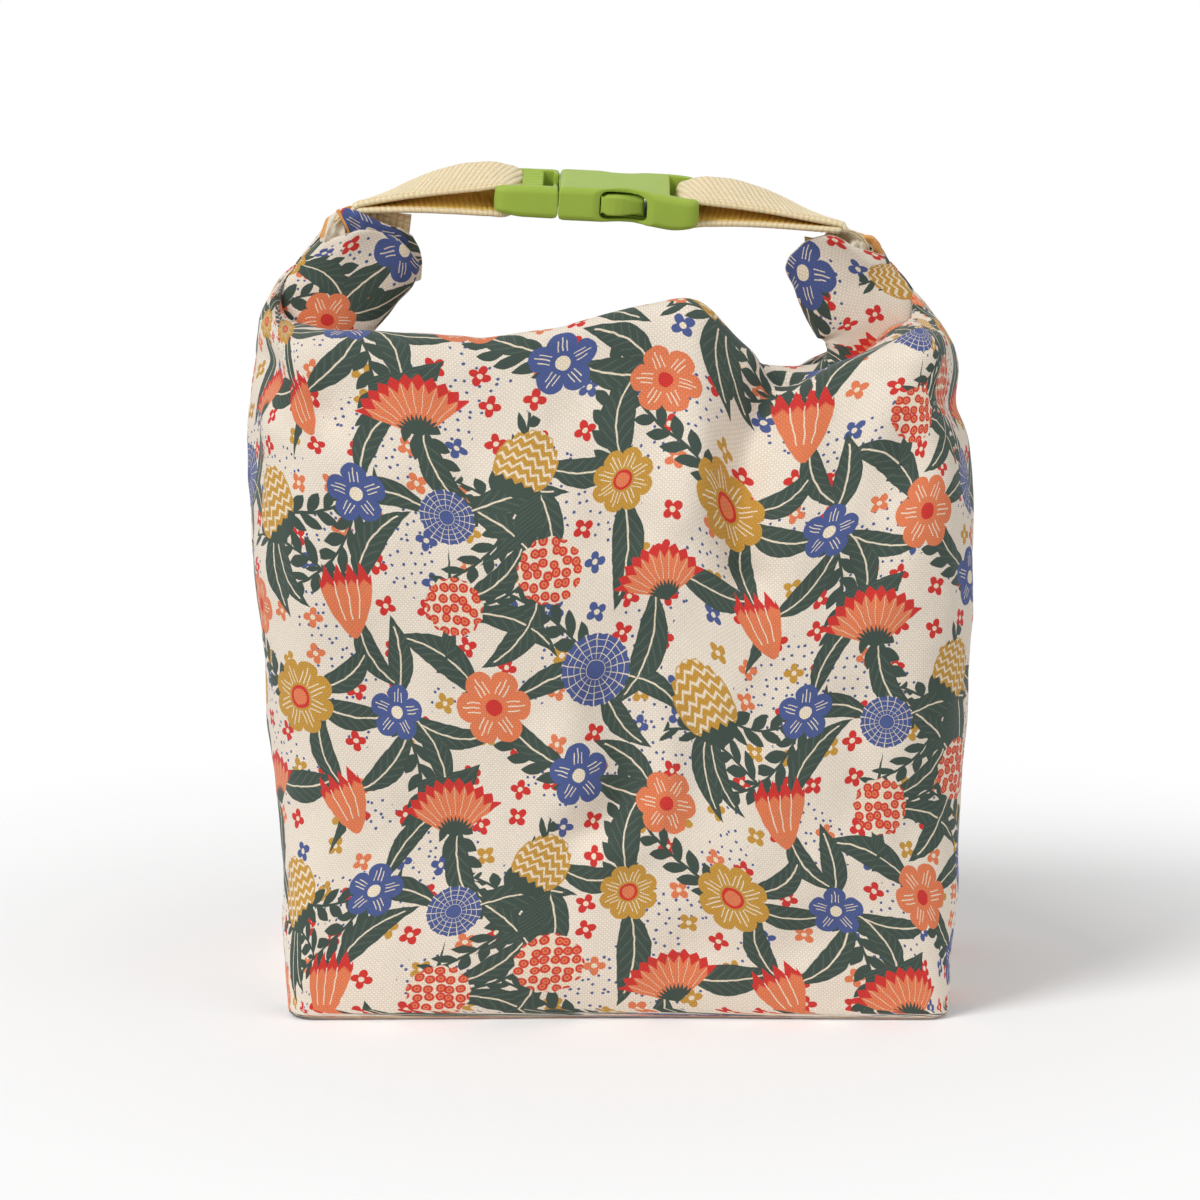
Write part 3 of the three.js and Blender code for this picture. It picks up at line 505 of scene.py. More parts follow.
def fan(g, x, y):
    """A half-open flower: fringed red rim, coral fans and a green cup."""
    r, a = g.polar(y + 0.75 * UNIT, x)
    teeth = g.wave(a, 0.2) * (0.16 * UNIT)
    inside = g.minimum(1.55 * UNIT - teeth - r, (1.02 - g.absolute(a)) * (0.9 * UNIT))
    tone = g.mix(g.edge(r - 1.12 * UNIT - teeth * 1.5), CORAL, RED)
    rays = g.edge(0.12 - g.absolute(g.wave(a, 0.4) - 0.5) * r * 0.4)
    rays = rays * g.less(r, 1.3 * UNIT) * g.more(r, 0.6 * UNIT)
    cup = g.edge(0.42 * UNIT - r + teeth)
    return inside, g.mix(cup, g.mix(rays, tone, PALE), LEAF_GREEN)


def ringed(g, x, y):
    """A blue flower of rings cut into small blocks."""
    r, a = g.polar(x, y)
    blocks = g.wave(a, TURN / 18)
    gaps = g.edge(0.16 - g.absolute(g.wave(r, 0.36 * UNIT) - 0.5) * (0.36 * UNIT))
    cuts = g.edge(0.1 - blocks, 8.0) * g.more(r, 0.3 * UNIT)
    pale = g.maximum(gaps, cuts) * g.more(r, 0.15 * UNIT)
    return UNIT - r - blocks * 0.5, g.mix(pale, BLUE, PALE)


def draw_scatter(g, colour, u, v):
    """Small blossoms and blue dots on the ground between the larger motifs."""
    fine = 2.9
    near = Value(g, g.cells(u, v, fine, 0.75).outputs["Distance"]) * fine
    patches = g.cloud(u, v, 0.045, 0.0)
    colour = g.mix(g.edge(0.42 - near) * g.more(patches, 0.55), colour, BLUE)
    cell = 11.5
    blossoms = g.cells(u, v, cell, 0.5)
    px, py, _ = g.unpack(Value(g, blossoms.outputs["Position"]))
    pick, spin, _ = g.unpack(Value(g, blossoms.outputs["Color"]))
    r, a = g.polar(u - px * cell, v - py * cell)
    outline = g.absolute(g.math("COSINE", (a + spin * 6.0) * 2.0)) * 1.7 + 1.3
    ramp = g.node("ShaderNodeValToRGB", {0: pick})
    ramp.color_ramp.interpolation = "CONSTANT"
    stops = ((0.0, RED), (0.5, CORAL), (0.64, BLUE), (0.8, MUSTARD))
    while len(ramp.color_ramp.elements) < len(stops):
        ramp.color_ramp.elements.new(0.5)
    for element, (place, tone) in zip(ramp.color_ramp.elements, stops):
        element.position = place
        element.color = (*tone, 1.0)
    tone = g.mix(g.edge(0.75 - r), ramp.outputs["Color"], PALE)
    return g.mix(g.edge(outline - r), colour, tone)


def print_colour(g, u, v):
    flowers, leaves, sprigs = print_layout()
    wx, wy, _ = g.unpack(g.cloud(u, v, 0.3, 1.0, output=1))
    u = u + (wx - 0.5) * 0.6
    v = v + (wy - 0.5) * 0.6
    a = u * (1 / REPEAT_X)
    place = g.pack(a, g.math("MULTIPLY_ADD", v, 1 / REPEAT_Y, a * -0.5))
    colour = draw_scatter(g, CREAM, u, v)
    colour = draw_sprigs(g, colour, place, sprigs)
    colour = draw_leaves(g, colour, place, leaves)
    _, (x, y, chosen) = choose_motif(g, step_group("nearest_flower", flower_measure), place, flowers)
    x = x * UNIT
    y = y * UNIT
    drawn = {
        "five": rosette(g, x, y, 5, 0.42, BLUE, PALE, BLUE),
        "open": rosette(g, x, y, 6, 0.3, CORAL, RED, CORAL),
        "scallop": rosette(g, x, y, 8, 0.22, MUSTARD, CORAL, RED),
        "oval": oval(g, x, y),
        "berries": berries(g, x, y, u, v),
        "tulip": tulip(g, x, y),
        "fan": fan(g, x, y),
        "ringed": ringed(g, x, y),
    }
    for index, kind in enumerate(KINDS):
        inside, tone = drawn[kind]
        shown = g.math("COMPARE", chosen, float(index), 0.4)
        colour = g.mix(g.edge(inside) * shown, colour, tone)
    return colour


# Materials

def cloth_material(name, roughness, sheen, sheen_roughness=0.5, **extras):
    """A fabric's material, builder and shader, and the place on the flat cloth in mm."""
    material, g, shader = new_material(
        name, roughness, Sheen_Weight=sheen, Sheen_Roughness=sheen_roughness, **extras)
    x, y, _ = g.unpack(g.out("ShaderNodeUVMap", 0, uv_map="cloth"))
    return material, g, shader, x * 1000.0, y * 1000.0


def dress(g, shader, colour, shade_and_tone, height, strength, depth):
    """Gives the shader its colour, multiplied by a factor of painted shade and the material's own uneven
    tone, and bumps of a depth in mm.
    """
    bumps = g.node("ShaderNodeBump", {"Strength": strength, "Distance": depth * MM, "Height": height})
    g.feed(shader.inputs["Base Color"], g.vector("MULTIPLY", colour, g.pack(shade_and_tone, shade_and_tone, shade_and_tone)))
    g.feed(shader.inputs["Normal"], bumps.outputs[0])


def printed_canvas():
    """Plain weave, its threads passing over and under each other, painted darker in the gaps between
    them as painted shade, with the print on it.
    """
    material, g, shader, u, v = cloth_material("printed_canvas", 0.88, 0.12)
    thread = math.pi / 0.62
    across = g.math("SINE", u * thread)
    along = g.math("SINE", v * thread)
    weave = g.absolute(across) * 0.5 + g.absolute(along) * 0.5 + across * along * 0.35
    slub = g.cloud(u * 0.5, v * 3.0, 1.0, 2.0)
    # The gaps between the threads are darkened as painted shade; the slub is the yarn's own uneven tone
    shade_and_tone = weave * 0.34 + slub * 0.2 + 0.68
    dress(g, shader, print_colour(g, u, v), shade_and_tone, weave + slub * 0.6, 0.35, 0.2)
    return material


def lining_satin():
    """Coated lining: a fine twill with soft clouds."""
    material, g, shader, u, v = cloth_material("lining", 0.42, 0.25, 0.35)
    twill = g.math("SINE", (u + v) * (math.pi / 0.45))
    cloud = g.cloud(u * 0.12, v * 0.05, 1.0, 3.0)
    dress(g, shader, LINING, twill * 0.02 + cloud * 0.16 + 0.9, twill * 0.3 + cloud, 0.3, 0.2)
    return material


def binding_tape():
    """Ochre tape with fine ribs across it, painted darker between the ribs as painted shade."""
    material, g, shader, u, v = cloth_material("binding", 0.85, 0.2)
    height = g.ribs(u, 0.7) * 0.6 + g.ribs(v, 0.5) * 0.4
    worn = g.cloud(u, v, 0.6, 3.0)
    # The low places between the ribs are darkened as painted shade; worn gives the tape's own uneven
    # tone
    dress(g, shader, BINDING, height * 0.3 + worn * 0.25 + 0.68, height, 0.7, 0.4)
    return material


BAND_COLUMNS = 90
WEAVE_ALONG = 1.7
WEAVE_ACROSS = 2.0
WEAVE_SHIFT = 0.2
WEAVE_HEIGHT = 0.36
WEAVE_STEP = 0.28
PINCH = 0.62


def cotton_webbing(name, colour, hollow_shade):
    """Chunky basket weave: blocks of threads that pass over and under in turn, painted darker between
    the blocks as painted shade.
    """
    material, g, shader, u, v = cloth_material(
        name, 0.9, 0.15, Subsurface_Weight=0.4, Subsurface_Scale=2 * MM,
        Subsurface_Radius=(1.0, 0.75, 0.5))
    row = g.math("FLOOR", v / WEAVE_ACROSS)
    over = g.ribs(u / WEAVE_ALONG + row * WEAVE_SHIFT, 1.0)
    knots = g.math("POWER", over * g.ribs(v, WEAVE_ACROSS), 0.5)
    fluff = g.cloud(u, v, 1.4, 3.0)
    height = knots * 0.7 + g.ribs(v, WEAVE_ACROSS / 6) * 0.15 + fluff * 0.25
    # The low places between the woven blocks take the darker second colour as painted shade; the fluff
    # is the threads' own uneven tone
    tone = g.mix(g.edge(height - 0.34, 2.2), hollow_shade, colour)
    dress(g, shader, tone, fluff * 0.14 + 0.93, height, 0.8, 0.5)
    return material


def buckle_plastic():
    """Moulded plastic: satin gloss with a faint grain and slightly paler worn places."""
    material, g, shader = new_material("buckle_plastic", 0.4, Specular_IOR_Level=0.12)
    place = g.node("ShaderNodeTexCoord").outputs["Object"]
    grain, flow, scuffs = (
        g.out("ShaderNodeTexNoise", 0, {"Vector": place, "Scale": scale, "Detail": detail})
        for scale, detail in ((2600.0, 2.0), (90.0, 3.0), (420.0, 6.0)))
    dress(g, shader, BUCKLE, flow * 0.12 + scuffs * 0.06 + 0.91, grain + flow * 2.0, 0.25, 0.08)
    g.feed(shader.inputs["Roughness"], g.math("MULTIPLY_ADD", scuffs, 0.2, 0.34))
    return material


# Meshes from grids of points in mm

def grid_piece(name, points, us, vs, materials, wrap=False, pick=None):
    """A smooth sheet through rows of points; us and vs give each point's place on the flat cloth.

    Where the rows are closed rings, us has one more column than the points. pick gives the material
    of the face at a row and column.
    """
    rows, columns = points.shape[:2]
    across = columns if wrap else columns - 1
    i, j = np.meshgrid(np.arange(rows - 1), np.arange(across), indexing="ij")
    i, j = i.ravel(), j.ravel()
    k = (j + 1) % columns
    start, after = i * columns, (i + 1) * columns
    corners = np.stack([start + j, start + k, after + k, after + j], 1)
    mesh = bpy.data.meshes.new(name)
    mesh.from_pydata((points.reshape(-1, 3) * MM).tolist(), [], corners.tolist())
    us = np.broadcast_to(us, (rows, across + 1))
    vs = np.broadcast_to(vs, (rows, across + 1))
    flat = np.empty((len(i), 4, 2))
    for corner, (di, dj) in enumerate(((0, 0), (0, 1), (1, 1), (1, 0))):
        flat[:, corner, 0] = us[i + di, j + dj]
        flat[:, corner, 1] = vs[i + di, j + dj]
    layer = mesh.uv_layers.new(name="cloth")
    layer.data.foreach_set("uv", (flat * MM).ravel())
    for material in materials:
        mesh.materials.append(material)
    if pick is not None:
        mesh.polygons.foreach_set("material_index", [pick(a, b) for a, b in zip(i, j)])
    mesh.polygons.foreach_set("use_smooth", [True] * len(i))
    piece = bpy.data.objects.new(name, mesh)
    scene.collection.objects.link(piece)
    return piece


def ring_normals(points):
    """Unit normals of rows of closed rings, as the cross of the directions round and up them."""
    around = np.roll(points, -1, 1) - np.roll(points, 1, 1)
    return unit(np.cross(around, np.gradient(points, axis=0)))


def noise_at(points, grain, seed):
    """Smooth noise from about -1 to 1 at points in mm; grain is its size along x, y and z."""
    scaled = points.reshape(-1, 3) / np.array(grain) + seed
    values = [noise.noise(Vector(p)) for p in scaled]
    return np.array(values).reshape(points.shape[:-1])


def line_distance(x, z, line):
    """Distance of each place from a line through a few points."""
    best = np.full(np.shape(x), 1e9)
    for (x0, z0), (x1, z1) in zip(line, line[1:]):
        dx, dz = x1 - x0, z1 - z0
        t = np.clip(((x - x0) * dx + (z - z0) * dz) / (dx * dx + dz * dz), 0.0, 1.0)
        best = np.minimum(best, np.hypot(x - x0 - t * dx, z - z0 - t * dz))
    return best


# Body shape

BASE_DEPTH = 112.0
BASE_CORNER = 7.0
BELLY_DEPTH = 122.0
BELLY_HEIGHT = 135.0
BELLY_CORNER = 27.0
CORNER_RISE = 70.0
PANEL_BULGE = 6.0
SHOULDER_HEIGHT = 118.0
FRONT_FOLD_DEPTH = 37.0
BACK_FOLD_DEPTH = 52.0
FOLD_HALF_WIDTH = 92.0
SIDE_FOLD_HEIGHT = 189.0
SIDE_FOLD_REACH = 105.0
SIDE_FOLD_SKEW = 2.5
FOLD_SHIFT = -2.45
CLOTH = 0.9
WALL = 4.1
GAP = 0.3

# Roll and its two ears
ROLL_Y = 12.0
ROLL_HEIGHT = 172.0
ROLL_HALF_HEIGHT = 17.8
ROLL_HALF_THICKNESS = 9.5
ROLL_STRIP = 1.3
ROLL_TURNS = 1.6
ROLL_BEND = 20.0
ROLL_SEAT = 5.0
EAR_SHOULDER = 5.5
EAR_WRAP_FOOT = 198.0

# Each ear: where its bend starts, how far it turns, the straight part after it, half heights of its
# outer and inner side by distance from the bend's start, ends of its front and back ply by height up
# the section, the webbing's place in it, and how high and along what line the wall's cloth wraps it
EARS = {
    -1: {
        "start": 70.0, "bend": math.radians(118), "length": 25.0, "slant": math.radians(16),
        "outer": ((0, 17.8), (31, 17.8), (41, 17.4), (49, 15.9), (57, 14.9), (66, 13.9)),
        "inner": ((0, 17.8), (20, 15.6), (30, 15.0), (41, 15.9), (50, 18.9), (58, 21.2), (66, 20.0)),
        "front_tip": ((-17.8, -5.5), (-13, -3), (-9, -1), (-4, 1.5), (0, 3), (4, 2.5), (9, 1), (13, -1),
                      (17.8, -5)),
        "back_tip": ((-17.8, 2), (-15, 5), (-11, 8), (-5, 7), (5, 2), (12, -1), (15, -4), (17.8, -9)),
        "strap_shift": 4.0,
        "wrap_top": 215.0,
        "side": ((189, 109.5), (198, 108.3), (204, 106.5), (210, 103.4), (216, 98.5)),
    },
    1: {
        "start": 58.0, "bend": math.radians(125), "length": 21.0, "slant": math.radians(18),
        "outer": ((0, 17.8), (30, 17.4), (38, 15.2), (43.6, 13.6), (51.6, 13.0), (58, 13.4),
                  (64.6, 14.5)),
        "inner": ((-48, 17.8), (-26, 14.5), (-8, 12.5), (4, 13.5), (20, 17.0), (30, 18.0), (38, 20.0),
                  (43.6, 20.5), (51.6, 19.0), (58, 18.2), (64.6, 17.6)),
        "front_tip": ((-17.8, -10), (-12, -6), (-7, -2), (-4, 4), (0, 4.8), (6, 4.6), (12, 1.5),
                      (15, -1.5), (17.8, -6)),
        "back_tip": ((-17.8, -5), (-14, -1.5), (-9, 1.5), (-5, 0.5), (2, -4), (10, -7), (17.8, -12)),
        "strap_shift": 3.0,
        "wrap_top": 208.5,
        "side": ((189, 97.8), (193, 95.4), (199, 92.2), (205, 87.6), (211, 83.0)),
    },
}
STRAP_WIDTH = 25.0
STRAP_THICKNESS = 1.5

# Half widths of the body to the left and right by height, and the height of its top folds by x
LEFT_SIDE = ((0, 97.6), (18, 98.6), (42, 99.9), (66, 101.4), (91, 104.2), (115, 106.2), (139, 107.9),
             (164, 108.4), (176, 109.2), (193, 108.6))
RIGHT_SIDE = ((0, 96), (42, 99.4), (88, 102.4), (115, 103.0), (139, 103.5), (164, 104.4), (176, 105.0),
              (183, 98.4), (193, 93.4))
FRONT_FOLD = ((-93, 199.4), (-70, 199.2), (-55, 198.4), (-41, 196.8), (-29, 199.2), (-18, 200.6),
              (-3, 205), (8, 208), (20, 208.8), (28, 203), (37, 193.6), (46, 188.6), (51.5, 187.4),
              (60, 189), (72, 193.2), (82, 196.6), (93, 195))
BACK_FOLD = ((-93, 190), (-40, 188), (5, 184), (30, 180.5), (48, 179.5), (62, 184), (75, 188), (93, 190))

# Mesh of the cloth
SIDE_COLUMNS = 16
CORNER_COLUMNS = 12
PANEL_COLUMNS = 64
RISE_ROWS = 76
RETURN_ROWS = 22


def half_width(z):
    return (profile(LEFT_SIDE, z) + profile(RIGHT_SIDE, z)) / 2


def lean_at(z):
    return (profile(RIGHT_SIDE, z) - profile(LEFT_SIDE, z)) / 2


def half_depth(z):
    t = np.minimum(z / (1.6 * BELLY_HEIGHT), 1)
    return BASE_DEPTH / 2 + (BELLY_DEPTH - BASE_DEPTH) / 2 * np.sin(math.pi * t)


def half_columns():
    """Columns of half a ring, left seam to right seam.

    Gives the hand of each, how far it is through the side and the corner, its place along the panel,
    whether it lies within the panel, and its share of the way round from the seam to the panel.
    """
    side = np.arange(SIDE_COLUMNS) / SIDE_COLUMNS
    corner = np.arange(CORNER_COLUMNS) / CORNER_COLUMNS
    edge_side = np.concatenate([side, np.ones(CORNER_COLUMNS)])
    edge_corner = np.concatenate([np.zeros(SIDE_COLUMNS), corner])
    panel = np.linspace(-1, 1, PANEL_COLUMNS + 1)
    ones = np.ones(len(panel))
    edge = np.ones(len(edge_side))
    c = {
        "hand": np.concatenate([-edge, np.where(panel < 0, -1.0, 1.0), edge]),
        "side": np.concatenate([edge_side, ones, edge_side[::-1]]),
        "corner": np.concatenate([edge_corner, ones, edge_corner[::-1]]),
        "panel": np.concatenate([-edge, panel, edge]),
    }
    c["in_panel"] = np.abs(c["panel"]) < 1
    c["round"] = 0.6 * c["side"] + 0.4 * c["corner"]
    return c


def ring_points(face, c, z):
    """The wall's outline at the heights z: panel, rounded corners and sides up to the seams."""
    a = half_width(z)
    b = half_depth(z)
    r = lerp(BASE_CORNER, BELLY_CORNER, smooth(z / CORNER_RISE))
    angle = c["corner"] * math.pi / 2
    x_edge = c["hand"] * (a - r + r * np.cos(angle))
    x = np.where(c["in_panel"], c["panel"] * (a - r), x_edge) + lean_at(z)
    up = np.minimum(z / SHOULDER_HEIGHT, 1) ** 0.8
    swell = PANEL_BULGE * (1 - c["panel"] ** 2) * np.sin(math.pi * up)
    seam = ROLL_Y * smooth(z / SIDE_FOLD_HEIGHT)
    y_edge = face * (b - r + r * np.sin(angle) + swell)
    return x, np.where(c["side"] < 1, lerp(seam, face * (b - r), c["side"]), y_edge)


def fold_height(face, x):
    return profile(FRONT_FOLD if face < 0 else BACK_FOLD, x, 3.0)


def fold_points(face, c):
    """The top fold of one half, rounded off from the panel's edges down to the side folds."""
    depth = FRONT_FOLD_DEPTH if face < 0 else BACK_FOLD_DEPTH
    angle = c["round"] * math.pi / 2
    reach = SIDE_FOLD_REACH - FOLD_HALF_WIDTH - c["hand"] * SIDE_FOLD_SKEW
    x_edge = c["hand"] * (FOLD_HALF_WIDTH + reach * np.cos(angle))
    x = np.where(c["in_panel"], c["panel"] * FOLD_HALF_WIDTH, x_edge) + FOLD_SHIFT
    y = np.where(c["in_panel"], face * depth, lerp(ROLL_Y, face * depth, np.sin(angle)))
    corner = fold_height(face, c["hand"] * FOLD_HALF_WIDTH + FOLD_SHIFT)
    z_edge = lerp(SIDE_FOLD_HEIGHT, corner, smooth(c["round"]))
    return np.stack([x, y, np.where(c["in_panel"], fold_height(face, x), z_edge)], 1)


def by_ear(c, value):
    """For each column, the value of the ear on its side."""
    return np.where(c["hand"] < 0, value(EARS[-1]), value(EARS[1]))


def end_points(face, c):
    """Where the cloth comes to rest on the roll or on the ear that it wraps."""
    clear = roll_surface(face, 0.0) + CLOTH + GAP
    seat = roll_surface(face, ROLL_SEAT - ROLL_HALF_HEIGHT) + CLOTH + GAP
    bottom = ROLL_HEIGHT - ROLL_HALF_HEIGHT + ROLL_SEAT
    top = by_ear(c, lambda ear: ear["wrap_top"])
    shoulder = by_ear(c, lambda ear: ear["start"]) + ROLL_BEND + EAR_SHOULDER
    along = np.abs(c["panel"]) * shoulder
    rise = smooth((along - 0.6 * shoulder) / (0.4 * shoulder))
    angle = c["round"] * math.pi / 2
    z_edge = lerp(top, EAR_WRAP_FOOT, smooth(c["round"]))
    outer = by_ear(c, lambda ear: profile(ear["side"], z_edge, 1.0)) - 1.0
    x = c["hand"] * np.where(c["in_panel"], along, lerp(shoulder, outer, np.cos(angle)))
    y_panel = ROLL_Y + face * lerp(seat, clear, smooth(4 * rise))
    y = np.where(c["in_panel"], y_panel, ROLL_Y + face * clear * np.sin(angle))
    z = np.where(c["in_panel"], lerp(bottom, EAR_WRAP_FOOT, rise), z_edge)
    return np.stack([x, y, z], 1)


def wall_half(face):
    """Rows of points of one half of the wall, from the bottom edge to where it meets the roll."""
    c = half_columns()
    fold = fold_points(face, c)
    end = end_points(face, c)
    rows = []
    for s in np.linspace(0, 1, RISE_ROWS + 1) ** 0.92:
        z = fold[:, 2] * s
        x, y = ring_points(face, c, z)
        q = smooth((z - SHOULDER_HEIGHT) / (fold[:, 2] - SHOULDER_HEIGHT)) ** 1.4
        rows.append(np.stack([lerp(x, fold[:, 0], q), lerp(y, fold[:, 1], q), z], 1))
    turned = smooth(c["round"])
    crest = lerp(lerp(fold[:, 2], end[:, 2], 0.7), np.maximum(fold[:, 2], end[:, 2]) + 1.5, turned)
    x_over = lerp(fold[:, 0], end[:, 0], lerp(0.2, 0.4, turned))
    over = np.stack([x_over, lerp(fold[:, 1], end[:, 1], 0.62), crest], 1)
    for t in np.linspace(0, 1, RETURN_ROWS + 1)[1:]:
        rows.append(fold * (1 - t) ** 2 + over * (2 * t * (1 - t)) + end * t ** 2)
    return np.stack(rows)


# Ridges and hollows of the front panel: height in mm, half width, and the line that each follows
FRONT_FOLDS = (
    (-7.6, 6.0, ((51, 192), (43, 182), (36, 168), (33, 150), (36, 134))),
    (4.0, 7.5, ((20, 206), (22, 188), (20, 168), (17, 150))),
    (2.2, 8.0, ((56, 176), (50, 158), (49, 140))),
    (-2.4, 9.0, ((34, 134), (22, 142), (8, 148))),
    (-1.8, 8.0, ((38, 126), (42, 106), (38, 88))),
    (-4.4, 6.5, ((-4, 98), (0, 84), (2, 70), (-12, 57))),
    (3.0, 6.5, ((10, 100), (13, 84), (12, 68))),
    (2.2, 7.0, ((-17, 84), (-14, 70))),
    (2.0, 6.0, ((-6, 52), (4, 54))),
    (-3.0, 5.0, ((-104, 190), (-96, 181), (-86, 176))),
    (2.2, 6.0, ((-98, 172), (-84, 164), (-66, 160))),
    (-2.0, 8.0, ((-80, 142), (-70, 120), (-66, 98))),
    (-3.2, 5.0, ((99, 176), (90, 184), (80, 189))),
    (3.0, 6.0, ((86, 196), (80, 184), (74, 170))),
    (-2.2, 8.0, ((84, 166), (74, 150), (70, 132))),
    (1.8, 9.0, ((-44, 188), (-32, 168), (-26, 146))),
    (-2.2, 9.0, ((-14, 188), (-6, 166), (-2, 146))),
    (-1.8, 10.0, ((-62, 60), (-42, 46), (-20, 40))),
    (1.8, 10.0, ((30, 52), (50, 44), (70, 50))),
    (-2.0, 9.0, ((64, 92), (72, 74), (84, 60))),
    (-1.6, 8.0, ((-88, 60), (-80, 40), (-82, 22))),
    (-1.6, 8.0, ((60, 26), (40, 20), (20, 24))),
)
BACK_FOLDS = (
    (-5.0, 26.0, ((-24, 140), (-18, 110))),
    (-4.5, 12.0, ((44, 178), (46, 154))),
    (2.4, 10.0, ((26, 176), (30, 140), (22, 116))),
    (-2.2, 8.0, ((-60, 172), (-54, 148), (-58, 124))),
    (2.0, 9.0, ((-78, 168), (-70, 140))),
    (-1.8, 10.0, ((70, 120), (58, 92), (60, 66))),
    (1.6, 12.0, ((-40, 60), (-10, 48), (24, 52))),
)


# Tucks of the side walls: height, then middle and half width in y (from the roll) and in z
SIDE_TUCKS = ((-5.5, 0, 13, 160, 30), (1.6, 26, 9, 158, 34))
SIDE_CREASE = {"depth": 1.4, "x": 98.6, "width": 2.4, "z": 130, "height": 34}


def fold_relief(points, folds):
    x, z = points[..., 0], points[..., 2]
    return sum(height * bump(line_distance(x, z, line) / width) for height, width, line in folds)


def side_relief(x, y, z, on_front):
    """Tucks of the side walls and the crease along the front edge of each."""
    off = np.abs(y - ROLL_Y)
    relief = sum(height * bump((off - middle) / width) * bump((z - level) / rise)
                 for height, middle, width, level, rise in SIDE_TUCKS)
    crease = bump((np.abs(x) - SIDE_CREASE["x"]) / SIDE_CREASE["width"]) * on_front
    relief -= SIDE_CREASE["depth"] * crease * bump((z - SIDE_CREASE["z"]) / SIDE_CREASE["height"])
    return relief * smooth((np.abs(x) - 84) / 14)


def settle_crest(points, target, near):
    """Brings the highest place of each column to its target, the rows near the fold with it."""
    lift = np.where(points[-1, :, 2] > target, 0.0, target - points[:, :, 2].max(0))
    for _ in range(3):
        lift = eased_round(lift, 0)
    points[:, :, 2] += lift * near[:, :, 0]


def shape_shell(points):
    """Rounds the top folds, then adds the ridges, hollows, tucks and wrinkles of the cloth."""
    rows = points.shape[0]
    row = np.arange(rows)[:, None]
    target = points[RISE_ROWS, :, 2].copy()
    near = bump((row - RISE_ROWS) / 9.0)[:, :, None]
    for _ in range(14):
        points = lerp(points, eased_rows(points), near)
    for _ in range(6):
        eased = eased_rows(eased_round(points, 1))
        eased[-1] = points[-1]
        eased[0] = points[0]
        points = eased
    settle_crest(points, target, near)
    x, y, z = points[..., 0], points[..., 1], points[..., 2]
    outside = row <= RISE_ROWS + 6
    on_front = smooth((4 - y) / 30) * outside
    on_back = smooth((y - 20) / 30) * outside
    relief = fold_relief(points, FRONT_FOLDS) * on_front + fold_relief(points, BACK_FOLDS) * on_back
    relief += side_relief(x, y, z, on_front)
    soft = smooth(z / 24) * smooth((rows - 1 - row) / 6.0)
    for height, grain, seed, share in (
            (1.8, (34, 34, 48), 3.1, soft), (1.0, (13, 13, 20), 8.7, soft),
            (0.9, (9, 12, 40), 5.3, soft * bump((z - 178) / 26)), (0.35, (6, 6, 6), 1.9, smooth(z / 8))):
        relief += height * noise_at(points, grain, seed) * share
    moved = points + ring_normals(points) * relief[..., None]
    moved[..., 1] += 2.2 * bump(z / 9) * bump(x / 60) * (y < 0)
    settle_crest(moved, target, near)
    return moved


REST_GAP = 0.35
REST_ROWS = 8


def rest_on(points, carrier):
    """Draws the last rows of the cloth onto the piece that they rest on."""
    tree = BVHTree.FromObject(carrier, bpy.context.evaluated_depsgraph_get())
    moves = []
    for p in points[-1]:
        place, normal, _, _ = tree.find_nearest(Vector(p) * MM)
        moves.append(np.array(place) / MM + np.array(normal) * REST_GAP - p)
    share = smooth((np.arange(len(points)) - (len(points) - 1 - REST_ROWS)) / REST_ROWS)
    return points + share[:, None, None] * np.array(moves)


def shell_rings(roll):
    """The whole wall: rings of its front and back half, resting on the roll."""
    points = np.concatenate([wall_half(-1), wall_half(1)[:, -2:0:-1]], 1)
    return rest_on(shape_shell(points), roll)


BASE_RAISE = 1.1
BASE_RINGS = (0.0, 0.12, 0.3, 0.5, 0.7, 0.85, 0.94, 0.985)


def base_rings(bottom):
    """Rings from the middle of the base out to its edge, the middle slightly raised."""
    rings = []
    for f in BASE_RINGS:
        ring = bottom * f
        ring[:, 2] = 0.15 + 1.4 * (1 - f * f) * (1 + 0.5 * noise_at(ring, (40, 40, 40), 2.2))
        rings.append(ring)
    return np.stack(rings)


def padding_share(wall, base_count):
    """Share of the full wall thickness that each row of the cloth has."""
    rows, columns = wall.shape[:2]
    row = np.arange(rows)[:, None]
    height = wall[..., 2] / wall[RISE_ROWS, :, 2]
    share = lerp(1.0, CLOTH / WALL, smooth((height - 0.8) / 0.1))
    share = np.where(row > RISE_ROWS, CLOTH / WALL, share)
    share = np.where(row > rows - 5, 0.3 / WALL, share)
    return np.concatenate([np.ones((base_count, columns)), share])


def make_shell(material, lining, roll):
    """The bag's cloth with its place on the flat cloth and its share of padding."""
    wall = shell_rings(roll)
    wall[0, :, 2] = BASE_RAISE
    base = base_rings(wall[0])
    points = np.concatenate([base, wall])
    middle = wall[RISE_ROWS // 2]
    us = lengths_along(np.concatenate([middle, middle[:1]]))
    rise = np.linalg.norm(np.diff(wall, axis=0), axis=2).mean(1)
    vs = np.concatenate([[0.0], np.cumsum(rise)])
    us_all = np.broadcast_to(us, (len(points), len(us))).copy()
    vs_all = np.empty_like(us_all)
    vs_all[len(base):] = vs[:, None]
    flat = np.concatenate([base, base[:, :1]], 1)
    us_all[:len(base)] = flat[..., 0]
    vs_all[:len(base)] = flat[..., 1]
    piece = grid_piece("bag_cloth", points, us_all, vs_all, [material, lining], wrap=True)
    group = piece.vertex_groups.new(name="padding")
    share = np.round(padding_share(wall, len(base)).ravel(), 2)
    for level in np.unique(share):
        group.add(np.flatnonzero(share == level).tolist(), float(level), "REPLACE")
    return piece


